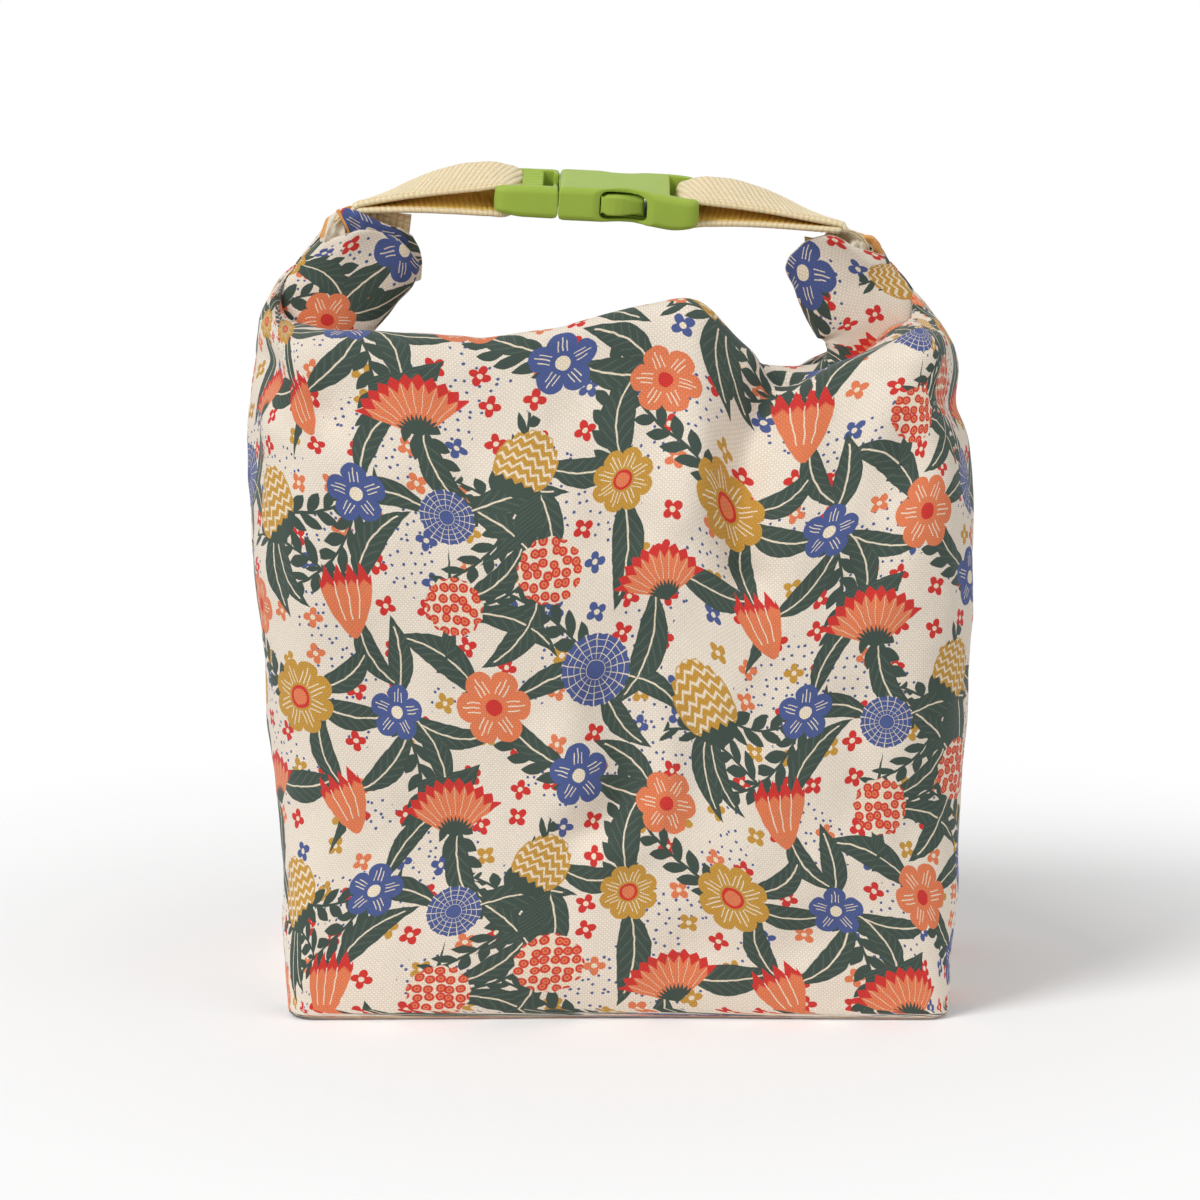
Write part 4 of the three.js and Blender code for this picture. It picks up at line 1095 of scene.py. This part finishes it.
def thicken(piece, thickness, inner_material, group=""):
    """Thickens a sheet inwards; the group holds each place's share of the thickness."""
    solid = piece.modifiers.new("thickness", "SOLIDIFY")
    solid.thickness = thickness * MM
    solid.offset = -1
    solid.material_offset = inner_material
    solid.vertex_group = group


def subdivide(piece):
    smoother = piece.modifiers.new("smoother", "SUBSURF")
    smoother.levels = 1
    smoother.render_levels = 1


def apply_modifiers(piece):
    """Replaces the mesh by what its modifiers make of it."""
    graph = bpy.context.evaluated_depsgraph_get()
    made = bpy.data.meshes.new_from_object(piece.evaluated_get(graph))
    piece.modifiers.clear()
    old = piece.data
    piece.data = made
    bpy.data.meshes.remove(old)


# Rolled mouth

SPIRAL_STEPS = 96
SPIRAL_END = 3 * math.pi
SPIRAL_START = SPIRAL_END - TURN * ROLL_TURNS
LEFT_STATIONS = 74
RIGHT_STATIONS = 66
TIP_REACH = 16.0
TIP_LEAN = 3.2
TIP_HOLLOW = 9.5


def spiral():
    """Inner and outer line of the rolled strip, height and thickness for a full-size roll."""
    strip = ROLL_STRIP / 2

    def centre(k):
        angle = lerp(SPIRAL_START, SPIRAL_END, k)
        height = lerp(STRAP_WIDTH / 2 + 3 * GAP + strip, ROLL_HALF_HEIGHT - strip, k)
        thick = lerp(STRAP_THICKNESS + GAP + strip + 1.1, ROLL_HALF_THICKNESS - strip, k)
        power = lerp(0.42, 0.8, k)
        height -= 1.0 * float(smooth((k - 0.86) / 0.14))
        c, s = math.cos(angle), math.sin(angle)
        return np.array([height * math.copysign(abs(c) ** power, c),
                         thick * math.copysign(abs(s) ** power, s)])

    inner, outer = [], []
    for k in np.linspace(0, 1, SPIRAL_STEPS + 1):
        tangent = unit(centre(min(k + 0.004, 1)) - centre(max(k - 0.004, 0)))
        normal = np.array([-tangent[1], tangent[0]])
        thin = 1 - 0.7 * float(smooth((k - 0.94) / 0.06))
        inner.append(centre(k) + normal * strip)
        outer.append(centre(k) - normal * (strip * thin))
    return np.array(inner), np.array(outer)


def roll_surface(face, height):
    """How far the roll stands from its middle plane at a height up its section."""
    inner, outer = spiral()
    loop = np.concatenate([inner, outer[::-1]])
    reach = 0.0
    for a, b in zip(loop, np.roll(loop, -1, 0)):
        if (a[0] - height) * (b[0] - height) <= 0 and a[0] != b[0]:
            reach = max(reach, face * lerp(a[1], b[1], (height - a[0]) / (b[0] - a[0])))
    return reach


def ear_section(hand, s):
    """Centre, outer side, heading and scales of the roll's section, s mm from where the bend starts."""
    ear = EARS[hand]
    turned = min(max(s / ROLL_BEND, 0), ear["bend"])
    straight = max(s - ROLL_BEND * ear["bend"], 0)
    heading = np.array([math.cos(turned), 0.0, math.sin(turned)])
    centre = np.array([
        ear["start"] + ROLL_BEND * math.sin(turned) + min(s, 0) + straight * heading[0],
        0.0,
        ROLL_HEIGHT + ROLL_BEND * (1 - math.cos(turned)) + straight * heading[2],
    ])
    relax = ear["slant"] * float(smooth(straight / ear["length"]))
    outward = np.array([math.sin(turned - relax), 0.0, -math.cos(turned - relax)])
    side = np.array([hand, 1.0, 1.0])
    return {
        "centre": centre * side + np.array([0.0, ROLL_Y, 0.0]),
        "outward": outward * side,
        "heading": heading * side,
        "outer": float(profile(ear["outer"], s, 3.0)) / ROLL_HALF_HEIGHT,
        "inner": float(profile(ear["inner"], s, 3.0)) / ROLL_HALF_HEIGHT,
    }


def ear_end(hand):
    return ROLL_BEND * EARS[hand]["bend"] + EARS[hand]["length"]


def section_ring(section, outline):
    """The roll's outline laid into a section, stretched to the section's two sides."""
    height = outline[:, :1]
    reach = lerp(section["outer"], section["inner"], smooth(0.5 + height / 12))
    lifted = section["centre"] - section["outward"] * (height * reach)
    lifted[:, 1] = ROLL_Y + outline[:, 1]
    return lifted


def roll_stations():
    """Sections from the left ear's tip through the middle to the right ear's tip."""
    left = [(-1, s) for s in np.linspace(ear_end(-1), -EARS[-1]["start"], LEFT_STATIONS)]
    right = [(1, s) for s in np.linspace(-EARS[1]["start"], ear_end(1), RIGHT_STATIONS)[1:]]
    return left + right


def tip_offset(hand, outline, turn):
    """How far each place of the ply's end lies past the ear's end."""
    front = profile(EARS[hand]["front_tip"], outline[:, 0], 1.0)
    back = profile(EARS[hand]["back_tip"], outline[:, 0], 1.0)
    offset = lerp(front, back, smooth(outline[:, 1] / 8 + 0.5))
    inside = 1 - smooth((turn - 0.2) / 0.22)
    ripple = 0.5 * np.sin(9 * turn * math.pi + hand) * (1 - inside)
    return offset * (1 - inside) - TIP_HOLLOW * inside + ripple


def roll_ring(hand, s, outline, turn):
    """One ring of the roll: its section with the ear's slanted, crumpled tip and soft swellings."""
    section = ear_section(hand, s)
    ring = section_ring(section, outline)
    near_tip = smooth((s - ear_end(hand) + TIP_REACH) / TIP_REACH)
    ring += section["heading"] * (near_tip * tip_offset(hand, outline, turn))[:, None]
    over_strap = bump((outline[:, 0] + 3) / 6) * smooth(-outline[:, 1] / 6)
    ring[:, 1] -= TIP_LEAN * near_tip ** 2 * over_strap * smooth((turn - 0.2) / 0.22)
    ring[:, 1] += 1.3 * smooth((0.5 - turn) / 0.2) * near_tip * noise_at(ring, (4, 60, 7), 6.1)
    outward = unit(ring - section["centre"])
    angle = lerp(SPIRAL_START, SPIRAL_END, turn)
    around = np.stack([np.full(len(angle), s), 6 * np.cos(angle) + 40 * hand, 6 * np.sin(angle)], 1)
    swell = 0.9 * noise_at(around, (11, 5, 5), 4.4) + 0.45 * noise_at(around, (5, 3.2, 3.2), 9.2)
    return ring + outward * (swell * smooth(s / 12 + 0.3))[:, None]


@contextmanager
def edited(mesh):
    """The mesh as it is edited; what is changed in it is kept."""
    made = bmesh.new()
    made.from_mesh(mesh)
    made.verts.ensure_lookup_table()
    yield made
    made.to_mesh(mesh)
    made.free()


def make_roll(materials):
    """The rolled mouth, its strip printed outside and lined inside, with tape along its ends."""
    inner, outer = spiral()
    outline = np.concatenate([outer, inner[::-1]])
    along = np.linspace(0, 1, SPIRAL_STEPS + 1)
    turn = np.concatenate([along, along[::-1]])
    stations = roll_stations()
    points = np.stack([roll_ring(hand, s, outline, turn) for hand, s in stations])
    us = np.array([hand * (s + EARS[hand]["start"]) + 30.0 for hand, s in stations])[:, None]
    around = lengths_along(outer)
    vs = np.concatenate([around, around[::-1], around[:1]])
    count = len(around)

    def pick(i, j):
        bound = min(i, len(points) - 2 - i) < 2 and abs(j - count) < 0.24 * count
        return 2 if bound else 0 if j < count + 8 else 1

    piece = grid_piece("rolled_mouth", points, us, vs, materials, wrap=True, pick=pick)
    size = 2 * count
    with edited(piece.data) as made:
        for k in range(count - 1):
            for start in (0, (len(points) - 1) * size):
                ends = (k, k + 1, size - 2 - k, size - 1 - k)
                face = made.faces.new([made.verts[start + n] for n in ends])
                face.material_index = 2 if k > count - 30 else 0
                face.smooth = True
        bmesh.ops.recalc_face_normals(made, faces=made.faces)
    return piece


# Loose edges at the ears' ends: rows of places from below upwards, each row from left to right

PATCH_ROWS = 25
PATCH_COLUMNS = 29
LEFT_PLY = (
    ((-79, 9, 212), (-75, 9, 211), (-70, 9, 210), (-66, 9, 209), (-62.5, 10, 209), (-59.5, 13, 210)),
    ((-80, 6.5, 220), (-77, 6.5, 220), (-71.5, 7, 218), (-66.5, 7.5, 217), (-62.5, 9, 216),
     (-59, 13, 216)),
    ((-81.4, 2, 226.3), (-79.2, 2, 226.3), (-73, 3.5, 224), (-67.5, 6, 222.6), (-63.5, 8, 221.4),
     (-60, 12, 220)),
    ((-83.2, 2, 229.4), (-80.6, 1.2, 230), (-75.5, 1.4, 228.4), (-69.5, 3.5, 226), (-65, 6, 224.6),
     (-61.4, 10, 222.4)),
    ((-84.6, 3, 231.8), (-81, 1.6, 232.8), (-77, 1.2, 231.2), (-70.5, 3, 227.8), (-65.2, 5, 225.8),
     (-62, 9, 223.6)),
)
LEFT_LINING = (
    ((-90.5, 14, 216), (-88, 9, 216), (-85.5, 8, 216), (-82.5, 7, 216)),
    ((-90, 11, 222), (-88, 5, 223), (-85.2, 7, 223.5), (-82, 4, 224)),
    ((-89, 11, 226), (-87, 6, 227.6), (-85.4, 4, 229), (-82.6, 6, 229.6)),
    ((-88, 13, 228.6), (-86.4, 9, 230), (-84.6, 6, 231), (-82.4, 8, 231.8)),
)
RIGHT_LINING = (
    ((67.1, 11, 212), (67.8, 6, 212), (69.9, 6, 212), (71.9, 7, 212), (74.4, 12, 211)),
    ((67.1, 11, 218), (67.9, 6, 218), (69.7, 5, 217.4), (72, 5.5, 216.8), (74.2, 12, 215.8)),
    ((67.3, 11, 221.2), (68.3, 3.4, 221.9), (70.1, 2.6, 221.9), (72.4, 4.5, 220.9), (73.8, 12, 218.9)),
    ((67.6, 11, 223), (68.5, 5, 223.4), (70.2, 4, 223.4), (72.2, 6, 222.8), (73.4, 12, 221)),
)
RIGHT_TAPE = (
    ((76.4, 13, 213.6), (77.8, 13, 213.4), (79, 13.5, 213)),
    ((75.4, 8.6, 217.8), (76.9, 8.8, 217.4), (78.5, 11, 217.2)),
    ((75.1, 6.6, 220.5), (76.3, 6.6, 220.7), (77.6, 8.6, 220.8)),
    ((74.2, 6.4, 222.2), (75, 6, 222.9), (76, 8.4, 223.2)),
    ((72.4, 6.4, 222.9), (72.6, 6, 223.6), (73, 8.4, 224.2)),
    ((70.4, 9, 222.6), (70.4, 9, 223.1), (70.6, 10, 223.5)),
)


def resample(rows, count_v, count_u):
    """A finer grid through the rows of places, its kinks eased."""
    rough = np.array(rows, float)
    size_v, size_u = rough.shape[:2]
    v = np.linspace(0, size_v - 1, count_v)
    u = np.linspace(0, size_u - 1, count_u)
    points = np.empty((count_v, count_u, 3))
    for k in range(3):
        wide = np.array([np.interp(u, np.arange(size_u), row) for row in rough[:, :, k]])
        points[:, :, k] = np.array([np.interp(v, np.arange(size_v), column) for column in wide.T]).T
    for _ in range(6):
        points = eased_rows(eased_rows(points).swapaxes(0, 1)).swapaxes(0, 1)
    return points


def add_patch(roll, rows, side, wrinkle, bound=0.0):
    """Adds a crumpled piece to the roll: side 0 shows the print, side 1 the lining, side 2 the tape."""
    points = resample(rows, PATCH_ROWS, PATCH_COLUMNS)
    crumple = 2.2 * np.abs(noise_at(points, (3.2, 30, 6), 7.7))
    crumple += np.abs(noise_at(points, (1.5, 30, 3), 5.2))
    points[..., 1] += wrinkle * (crumple - 0.8)
    points[..., 2] += 0.3 * noise_at(points, (2.4, 30, 4), 2.9)

    def pick(i, j):
        return 2 if j < bound * PATCH_COLUMNS and i > 8 else side

    us = points[0, :, 0] + 34.0
    vs = points[:, :1, 2] - 20.0
    patch = grid_piece("patch", points, us, vs, list(roll.data.materials), pick=pick)
    thicken(patch, CLOTH, 1 - side)
    subdivide(patch)
    apply_modifiers(patch)
    with edited(roll.data) as made:
        made.from_mesh(patch.data)
    bpy.data.objects.remove(patch)


# Straps

STRAP_SEAT = 16.0
STRAP_TURN = 7.0
BAR_LENGTH = 4.6
BAR_THICKNESS = 5.4
BAR_EASE = 0.3
MALE_LENGTH = 18.8
FEMALE_LENGTH = 41.8
MALE_BAR = -MALE_LENGTH + BAR_LENGTH / 2
FEMALE_BAR = FEMALE_LENGTH - BAR_LENGTH / 2
BUCKLE_SLOPE = 2.8
BUCKLE_LEAN = 5.5
BUCKLE_WAIST = 20.0
BUCKLE_DROOP = 0.9
BUCKLE_TWIST = 0.06
BUCKLE_PLACE = (Matrix.Translation((-18.6, ROLL_Y, 235.7))
                @ Matrix.Rotation(math.radians(BUCKLE_SLOPE), 4, "Y")
                @ Matrix.Rotation(math.radians(BUCKLE_LEAN), 4, "X"))

# Where the bands come together above each ear, and their tilt from there (0) to the buckle (1)
MEETING = {-1: (-80.2, 231.6), 1: (67.4, 225.6)}
MEETING_BACK = 2.5
BAND_TILT = ((0, -5), (0.13, -2.5), (0.23, 0), (0.33, 4), (0.5, 9.5), (0.7, 13.5), (0.9, 13), (1, 8.5))
BAND_SPREAD = {-1: 1.2, 1: -0.4}
BAND_DROP = {-1: 0.6, 1: 1.9}
BAND_BOW = {-1: (1.4, 0.0), 1: (0.6, 1.2)}
LOOP_REACH = {-1: 1.12, 1: 0.72}
LOOP_STEPS = 18

# Each strap's line: stations in the ear, up to the meeting and on to the buckle, and how far the
# line holds its direction after leaving the ear, below and past the meeting, and at the buckle
EAR_STATIONS = 8
RISE_STATIONS = 29
BAND_STATIONS = 37
LEAVE_HOLD = 3.5
BELOW_HOLD = 5.0
PAST_HOLD = 2.5
BAND_HOLD = 0.3
TAIL_FRAMES = 14


def buckle_point(x, y, z):
    return np.array(BUCKLE_PLACE @ Vector((x, y, z)))


def buckle_direction(x, y, z):
    return np.array(BUCKLE_PLACE.to_3x3() @ Vector((x, y, z)))


def bezier(a, b, c, d, t):
    return a * (1 - t) ** 3 + b * (3 * t * (1 - t) ** 2) + c * (3 * t * t * (1 - t)) + d * t ** 3


def band_tilt(t):
    return math.radians(float(profile(BAND_TILT, t, 0.04)))


def band_width(t):
    """Direction across the bands, front to back, from their meeting (0) to the buckle (1)."""
    return np.array([0.0, math.cos(band_tilt(t)), math.sin(band_tilt(t))])


def front_edge_lift(t):
    """Rise that keeps the bands' front edges straight while the back edges tilt up."""
    level = lerp(math.sin(band_tilt(0)), math.sin(math.radians(BUCKLE_LEAN)), t)
    return np.array([0.0, 0.0, STRAP_WIDTH / 2 * (math.sin(band_tilt(t)) - level)])


def strap_line(hand):
    """Stations of the doubled strap: centre, width direction, layers' distance, share of the width."""
    bar = MALE_BAR if hand < 0 else FEMALE_BAR
    tip = ear_section(hand, ear_end(hand))
    rise = tip["heading"]
    shift = tip["outward"] * EARS[hand]["strap_shift"]
    leave = tip["centre"] - rise * STRAP_TURN - shift
    towards = buckle_direction(-hand, 0, 0)
    bar_end = buckle_point(bar - hand * BAR_EASE, 0, 0) - buckle_direction(0, 0, BAND_DROP[hand])
    meeting = np.array([MEETING[hand][0], ROLL_Y + MEETING_BACK, MEETING[hand][1]])
    close = STRAP_THICKNESS + 0.5 * GAP
    wide = BAR_THICKNESS + STRAP_THICKNESS + 2 * GAP + BAND_SPREAD[hand]
    tip_width = np.cross([0, -hand, 0], rise)
    line = []
    for t in np.linspace(0, 1, EAR_STATIONS)[:-1]:
        station = ear_section(hand, ear_end(hand) - lerp(STRAP_SEAT, STRAP_TURN, t))
        line.append((station["centre"] - shift, -station["outward"], close, PINCH))
    up = np.array([0.0, 0.0, 1.0])
    begin = meeting + towards * PAST_HOLD
    control = (leave, leave + rise * LEAVE_HOLD, meeting - up * BELOW_HOLD + towards * 0.5, begin)
    for t in np.linspace(0, 1, RISE_STATIONS)[:-1]:
        angle = float(smooth(2 * t - 1)) * math.pi / 2
        width = tip_width * math.cos(angle) + band_width(0.0) * math.sin(angle)
        line.append((bezier(*control, t), width, close, lerp(PINCH, 1.0, float(smooth(t)))))
    hold = (bar_end - begin) * BAND_HOLD
    first, second = BAND_BOW[hand]
    control = (begin, begin + hold + up * first, bar_end - hold + up * second, bar_end)
    for t in np.linspace(0, 1, BAND_STATIONS):
        centre = bezier(*control, t) + front_edge_lift(t)
        line.append((centre, band_width(t), lerp(close, wide, t), 1.0))
    return line


def strap_band(hand):
    """Frames along the lower layer, round the bar and back along the upper layer."""
    line = strap_line(hand)
    centres = np.array([s[0] for s in line])
    alongs = unit(np.gradient(centres, axis=0))
    stations = []
    for (centre, width, apart, share), along in zip(line, alongs):
        width = unit(width - along * np.dot(width, along))
        facing = unit(-hand * np.cross(along, width))
        stations.append((centre, width * share, facing, along, apart))
    band = [(c - f * a / 2, w, f) for c, w, f, _, a in stations]
    centre, width, facing, along, apart = stations[-1]
    for angle in np.linspace(0, math.pi, LOOP_STEPS + 1)[1:-1]:
        outward = along * (LOOP_REACH[hand] * math.sin(angle)) - facing * math.cos(angle)
        band.append((centre + outward * apart / 2, width, -outward))
    band += [(c + f * a / 2, w, -f) for c, w, f, _, a in reversed(stations)]
    return band


def strap_section():
    """Outline of the webbing: flat with beaded edges, once round."""
    u = np.sin(np.linspace(-math.pi / 2, math.pi / 2, BAND_COLUMNS)) * 0.5
    half = 0.5 * (1 - 0.3 * bump((np.abs(u) - 0.44) / 0.02))
    half = half * np.clip((0.5 - np.abs(u)) / 0.03, 0, 1) ** 0.5 + 0.08
    top = np.stack([u * STRAP_WIDTH, half * STRAP_THICKNESS], 1)
    bottom = np.stack([u[::-1] * STRAP_WIDTH, -half[::-1] * STRAP_THICKNESS], 1)
    return np.concatenate([bottom[::-1], top[::-1]])


def woven_height(u, v):
    """Relief of the webbing: slanting ribs of blocks, and a fine cord along both edges."""
    along = u / WEAVE_ALONG + np.floor(v / WEAVE_ACROSS) * WEAVE_SHIFT
    blocks = np.sin(along * math.pi) * np.sin(math.pi * v / WEAVE_ACROSS)
    selvedge = smooth((np.abs(v) / STRAP_WIDTH - 0.44) / 0.02)
    cord = 0.4 * np.abs(np.sin(2 * math.pi * (u + v) / WEAVE_ALONG))
    return WEAVE_HEIGHT * lerp(np.abs(blocks) ** 0.6, cord, selvedge)


def make_band(name, frames, materials, scale=1.0):
    """A band of webbing through frames of centre, width direction and facing."""
    outline = strap_section() * np.array([scale, 1.0])
    centre, width, facing = (np.array(part) for part in zip(*frames))
    along = lengths_along(centre)
    fine = np.linspace(0, along[-1], int(along[-1] / WEAVE_STEP))
    centre, width, facing = (
        np.stack([np.interp(fine, along, part[:, k]) for k in range(3)], 1)[:, None, :]
        for part in (centre, width, facing))
    woven = woven_height(fine[:, None], outline[None, :, 0]) * np.sign(outline[None, :, 1])
    points = centre + width * outline[:, :1] + facing * (outline[None, :, 1] + woven)[..., None]
    vs = np.concatenate([outline[:, 0], outline[:1, 0]])[None, :]

    # Faces on the inside of the doubled strap take the second material, the painted glow between the
    # bands
    def pick(_, j):
        return int(len(materials) > 1 and j >= BAND_COLUMNS and abs(outline[j, 0]) < 0.46 * STRAP_WIDTH)

    piece = grid_piece(name, points, fine[:, None], vs, materials, wrap=True, pick=pick)
    with edited(piece.data) as made:
        last = len(made.verts) - 1
        made.faces.new([made.verts[n] for n in range(len(outline))])
        made.faces.new([made.verts[last - n] for n in range(len(outline))])
        bmesh.ops.recalc_face_normals(made, faces=made.faces)
    return piece


def tail_frames():
    """The webbing's sewn end, which stands up out of the left ear under the two bands."""
    frames = []
    for t in np.linspace(0, 1, TAIL_FRAMES):
        centre = np.array([lerp(-72.5, -70.6, t), 9.8 + 1.6 * t * t, lerp(214, 230.6, t)])
        frames.append((centre, np.array([1.0, 0.0, -0.12]), np.array([0.0, -1.0, 0.15])))
    return frames


# Buckle

VOXEL = 0.26
ROUNDING = {"factor": 0.6, "iterations": 5}

# Both ends of the buckle thin out; its right end droops and leans over a short run
END_REACH = 9.0
THIN_ABOVE = 0.1
THIN_BELOW = 0.2
DROOP_REACH = 18.0

# Male half's wall: how far it moves towards the housing, and how far its top sinks behind the bar
WALL_SHIFT = 0.3
WALL_SUNK = 2.6
WALL_END = 0.6

# Prong's head: thinning at its tip and heel, its lift, the tip's drop, and its outward swelling
TIP_THIN = 0.42
HEEL_THIN = 0.22
HEAD_LIFT = 0.2
TIP_DROP = 0.3
HEAD_SWELL = 0.9
HEAD_MIDDLE = 17.5


def eased(x, start, end):
    """0 at the start, 1 at the end, and an eased step between."""
    return float(smooth((x - start) / (end - start)))


def buckle_run(x, y, z):
    """The buckle thinner towards both straps, its right end a little lower and leaning forward."""
    end = max(eased(x, FEMALE_LENGTH - END_REACH, FEMALE_LENGTH),
              eased(x, END_REACH - MALE_LENGTH, -MALE_LENGTH))
    z *= 1 - end * (THIN_BELOW if z < 0 else THIN_ABOVE)
    turned = eased(x, BUCKLE_WAIST, BUCKLE_WAIST + DROOP_REACH)
    return x, y, z + turned * (y * BUCKLE_TWIST - BUCKLE_DROOP)


def mould_frame(x, y, z):
    """The male half's wall stands close to the housing, its top lower behind the ribbed bar."""
    x += WALL_SHIFT * eased(x, -4, -1)
    sunk = eased(x, -3, -2.2) * eased(abs(y), 9.2, 8.4) * eased(z, 1, 2)
    return x, y, z - WALL_SUNK * sunk * (x < WALL_END)


def mould_head(x, y, z):
    """The prong's head swells in the window and tapers towards its tip."""
    tip = eased(x, 17, 26)
    heel = eased(x, 14.8, 13.2) * eased(x, 12.8, 13.2)
    outer = eased(abs(y), 11.6, 13.2)
    z *= 1 - outer * (TIP_THIN * tip + HEEL_THIN * heel)
    swell = HEAD_SWELL * outer * float(bump((x - HEAD_MIDDLE) / 6))
    return x, y + math.copysign(swell, y), z + outer * (HEAD_LIFT * (1 - tip) - TIP_DROP * tip)


def reshape(piece, mould):
    """Moves the piece's vertices by its mould and the buckle's run, in the buckle's own frame."""
    back = BUCKLE_PLACE.inverted()
    for vertex in piece.data.vertices:
        place = back @ (vertex.co / MM)
        if mould:
            place = Vector(mould(*place))
        vertex.co = (BUCKLE_PLACE @ Vector(buckle_run(*place))) * MM


def moulded(name, node, material, mould):
    """A finely remeshed copy of a hard solid, with the soft edges of a moulding."""
    piece = bpy.data.objects.new(name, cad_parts[node].data.copy())
    piece.data.materials.clear()
    piece.data.materials.append(material)
    scene.collection.objects.link(piece)
    voxels = piece.modifiers.new("voxels", "REMESH")
    voxels.mode = "VOXEL"
    voxels.voxel_size = VOXEL * MM
    rounding = piece.modifiers.new("rounding", "SMOOTH")
    for key, setting in ROUNDING.items():
        setattr(rounding, key, setting)
    apply_modifiers(piece)
    reshape(piece, mould)
    piece.data.polygons.foreach_set("use_smooth", [True] * len(piece.data.polygons))
    return piece


# Camera, lights and floor: the bag seen square from the front, a little from above

CAMERA_TARGET = (-6.2, 0.0, 115.0)
CAMERA_DISTANCE = 1300.0
CAMERA_ELEVATION = 10.0
CAMERA_LENS = 130.0
CAMERA_SENSOR = 36.0

# Azimuth and elevation in degrees, energy, and the lamp's spread in degrees
KEY_LIGHT = (-52, 42, 1.65, 24)
FILL_LIGHT = (50, 25, 0.36, 60)
WORLD_LIGHT = 0.5

# Floor, in metres: its radius, and where it starts and ends to fade out
FLOOR_RADIUS = 0.6
FLOOR_FADE = (0.15, 0.35)
FLOOR_GLOW = 0.07


def add_camera():
    camera = bpy.data.objects.new("camera", bpy.data.cameras.new("camera"))
    camera.data.lens = CAMERA_LENS
    camera.data.sensor_width = CAMERA_SENSOR
    rise = math.radians(CAMERA_ELEVATION)
    target = Vector(CAMERA_TARGET) * MM
    away = Vector((0.0, -math.cos(rise), math.sin(rise)))
    camera.location = target + away * (CAMERA_DISTANCE * MM)
    camera.rotation_euler = away.to_track_quat("Z", "Y").to_euler()
    scene.collection.objects.link(camera)
    scene.camera = camera


def add_sun(name, azimuth, elevation, energy, spread):
    lamp = bpy.data.objects.new(name, bpy.data.lights.new(name, "SUN"))
    lamp.data.energy = energy
    lamp.data.angle = math.radians(spread)
    turn, rise = math.radians(azimuth), math.radians(elevation)
    level = math.cos(rise)
    towards = Vector((math.sin(turn) * level, -math.cos(turn) * level, math.sin(rise)))
    lamp.rotation_euler = towards.to_track_quat("Z", "Y").to_euler()
    scene.collection.objects.link(lamp)


def add_world():
    """White where the camera sees it, directly, mirrored or through; dimmer as light on the bag."""
    world = bpy.data.worlds.new("studio")
    world.use_nodes = True
    g = Graph(world.node_tree)
    background = world.node_tree.nodes["Background"]
    rays = g.node("ShaderNodeLightPath")
    seen = g.maximum(rays.outputs["Is Camera Ray"], rays.outputs["Is Glossy Ray"])
    seen = g.maximum(seen, rays.outputs["Is Transmission Ray"])
    background.inputs["Color"].default_value = (*WHITE, 1.0)
    strength = g.math("MULTIPLY_ADD", seen, 1 - WORLD_LIGHT, WORLD_LIGHT)
    g.feed(background.inputs["Strength"], strength)
    scene.world = world


def add_floor():
    """A white floor that keeps the bag's shadow and fades out around it."""
    bpy.ops.mesh.primitive_circle_add(vertices=96, radius=FLOOR_RADIUS, fill_type="NGON")
    floor = bpy.context.object
    floor.name = "floor"
    material, g, shader = new_material(
        "floor", 0.9, Base_Color=(0.96, 0.96, 0.96, 1.0), Specular_IOR_Level=0.0,
        Emission_Color=(*WHITE, 1.0))
    place = g.node("ShaderNodeTexCoord").outputs["Object"]
    away = g.vector("LENGTH", place, output="Value")
    start, end = FLOOR_FADE
    shown = g.math("MULTIPLY_ADD", away, -1 / (end - start), end / (end - start), clamp=True)
    seen = g.node("ShaderNodeLightPath").outputs["Is Camera Ray"]
    g.feed(shader.inputs["Emission Strength"], g.math("MULTIPLY", seen, FLOOR_GLOW))
    g.feed(shader.inputs["Alpha"], shown)
    floor.data.materials.append(material)


# Making and fitting the pieces

add_camera()
add_sun("key", *KEY_LIGHT)
add_sun("fill", *FILL_LIGHT)
add_world()
add_floor()
scene.view_settings.view_transform = "Standard"

canvas = printed_canvas()
satin = lining_satin()
tape = binding_tape()
webbing = cotton_webbing("webbing", WEBBING, WEBBING_SHADE)
# The strap's inside faces: the cream webbing painted mustard as the warm glow between the bands, with
# the binding's ochre as painted shade in its weave's hollows
webbing_painted_glow = cotton_webbing("webbing_painted_glow", WEBBING_PAINTED_GLOW, BINDING)
plastic = buckle_plastic()

roll = make_roll([canvas, satin, tape])
subdivide(roll)
apply_modifiers(roll)
shell = make_shell(canvas, satin, roll)
thicken(shell, WALL, 1, "padding")
subdivide(shell)
apply_modifiers(shell)
add_patch(roll, LEFT_PLY, 0, 0.5, 0.05)
add_patch(roll, LEFT_LINING, 1, 1.0, 0.25)
add_patch(roll, RIGHT_LINING, 1, 1.3)
add_patch(roll, RIGHT_TAPE, 2, 0.4)

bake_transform(roll)
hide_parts("rolled_top", "left_roll_end", "right_roll_end",
            "left_seam_binding", "right_seam_binding")
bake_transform(shell)
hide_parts("outer_front", "outer_back", "outer_base", "foam_front", "foam_back", "foam_base",
            "lining_front", "lining_back", "lining_base")

for name, node, hand, inner, outer in (
        ("webbing_left", "left_strap", -1, "left_ear", "handle_left"),
        ("webbing_right", "right_strap", 1, "bag", "handle_right")):
    piece = make_band(name, strap_band(hand), [webbing, webbing_painted_glow])
    tip = ear_section(hand, ear_end(hand))["centre"]
    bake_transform(piece)
    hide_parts(node)

tail = make_band("webbing_tail", tail_frames(), [webbing], 0.66)
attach(tail, "left_ear")

for name, node, body, mould in (
        ("buckle_male", "male_buckle_frame", "handle_left", mould_frame),
        ("prong_front", "front_prong", "front_prong", mould_head),
        ("prong_rear", "rear_prong", "rear_prong", mould_head),
        ("buckle_female", "female_buckle_housing", "handle_right", None)):
    piece = moulded(name, node, plastic, mould)
    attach(piece, body)
    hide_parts(node)
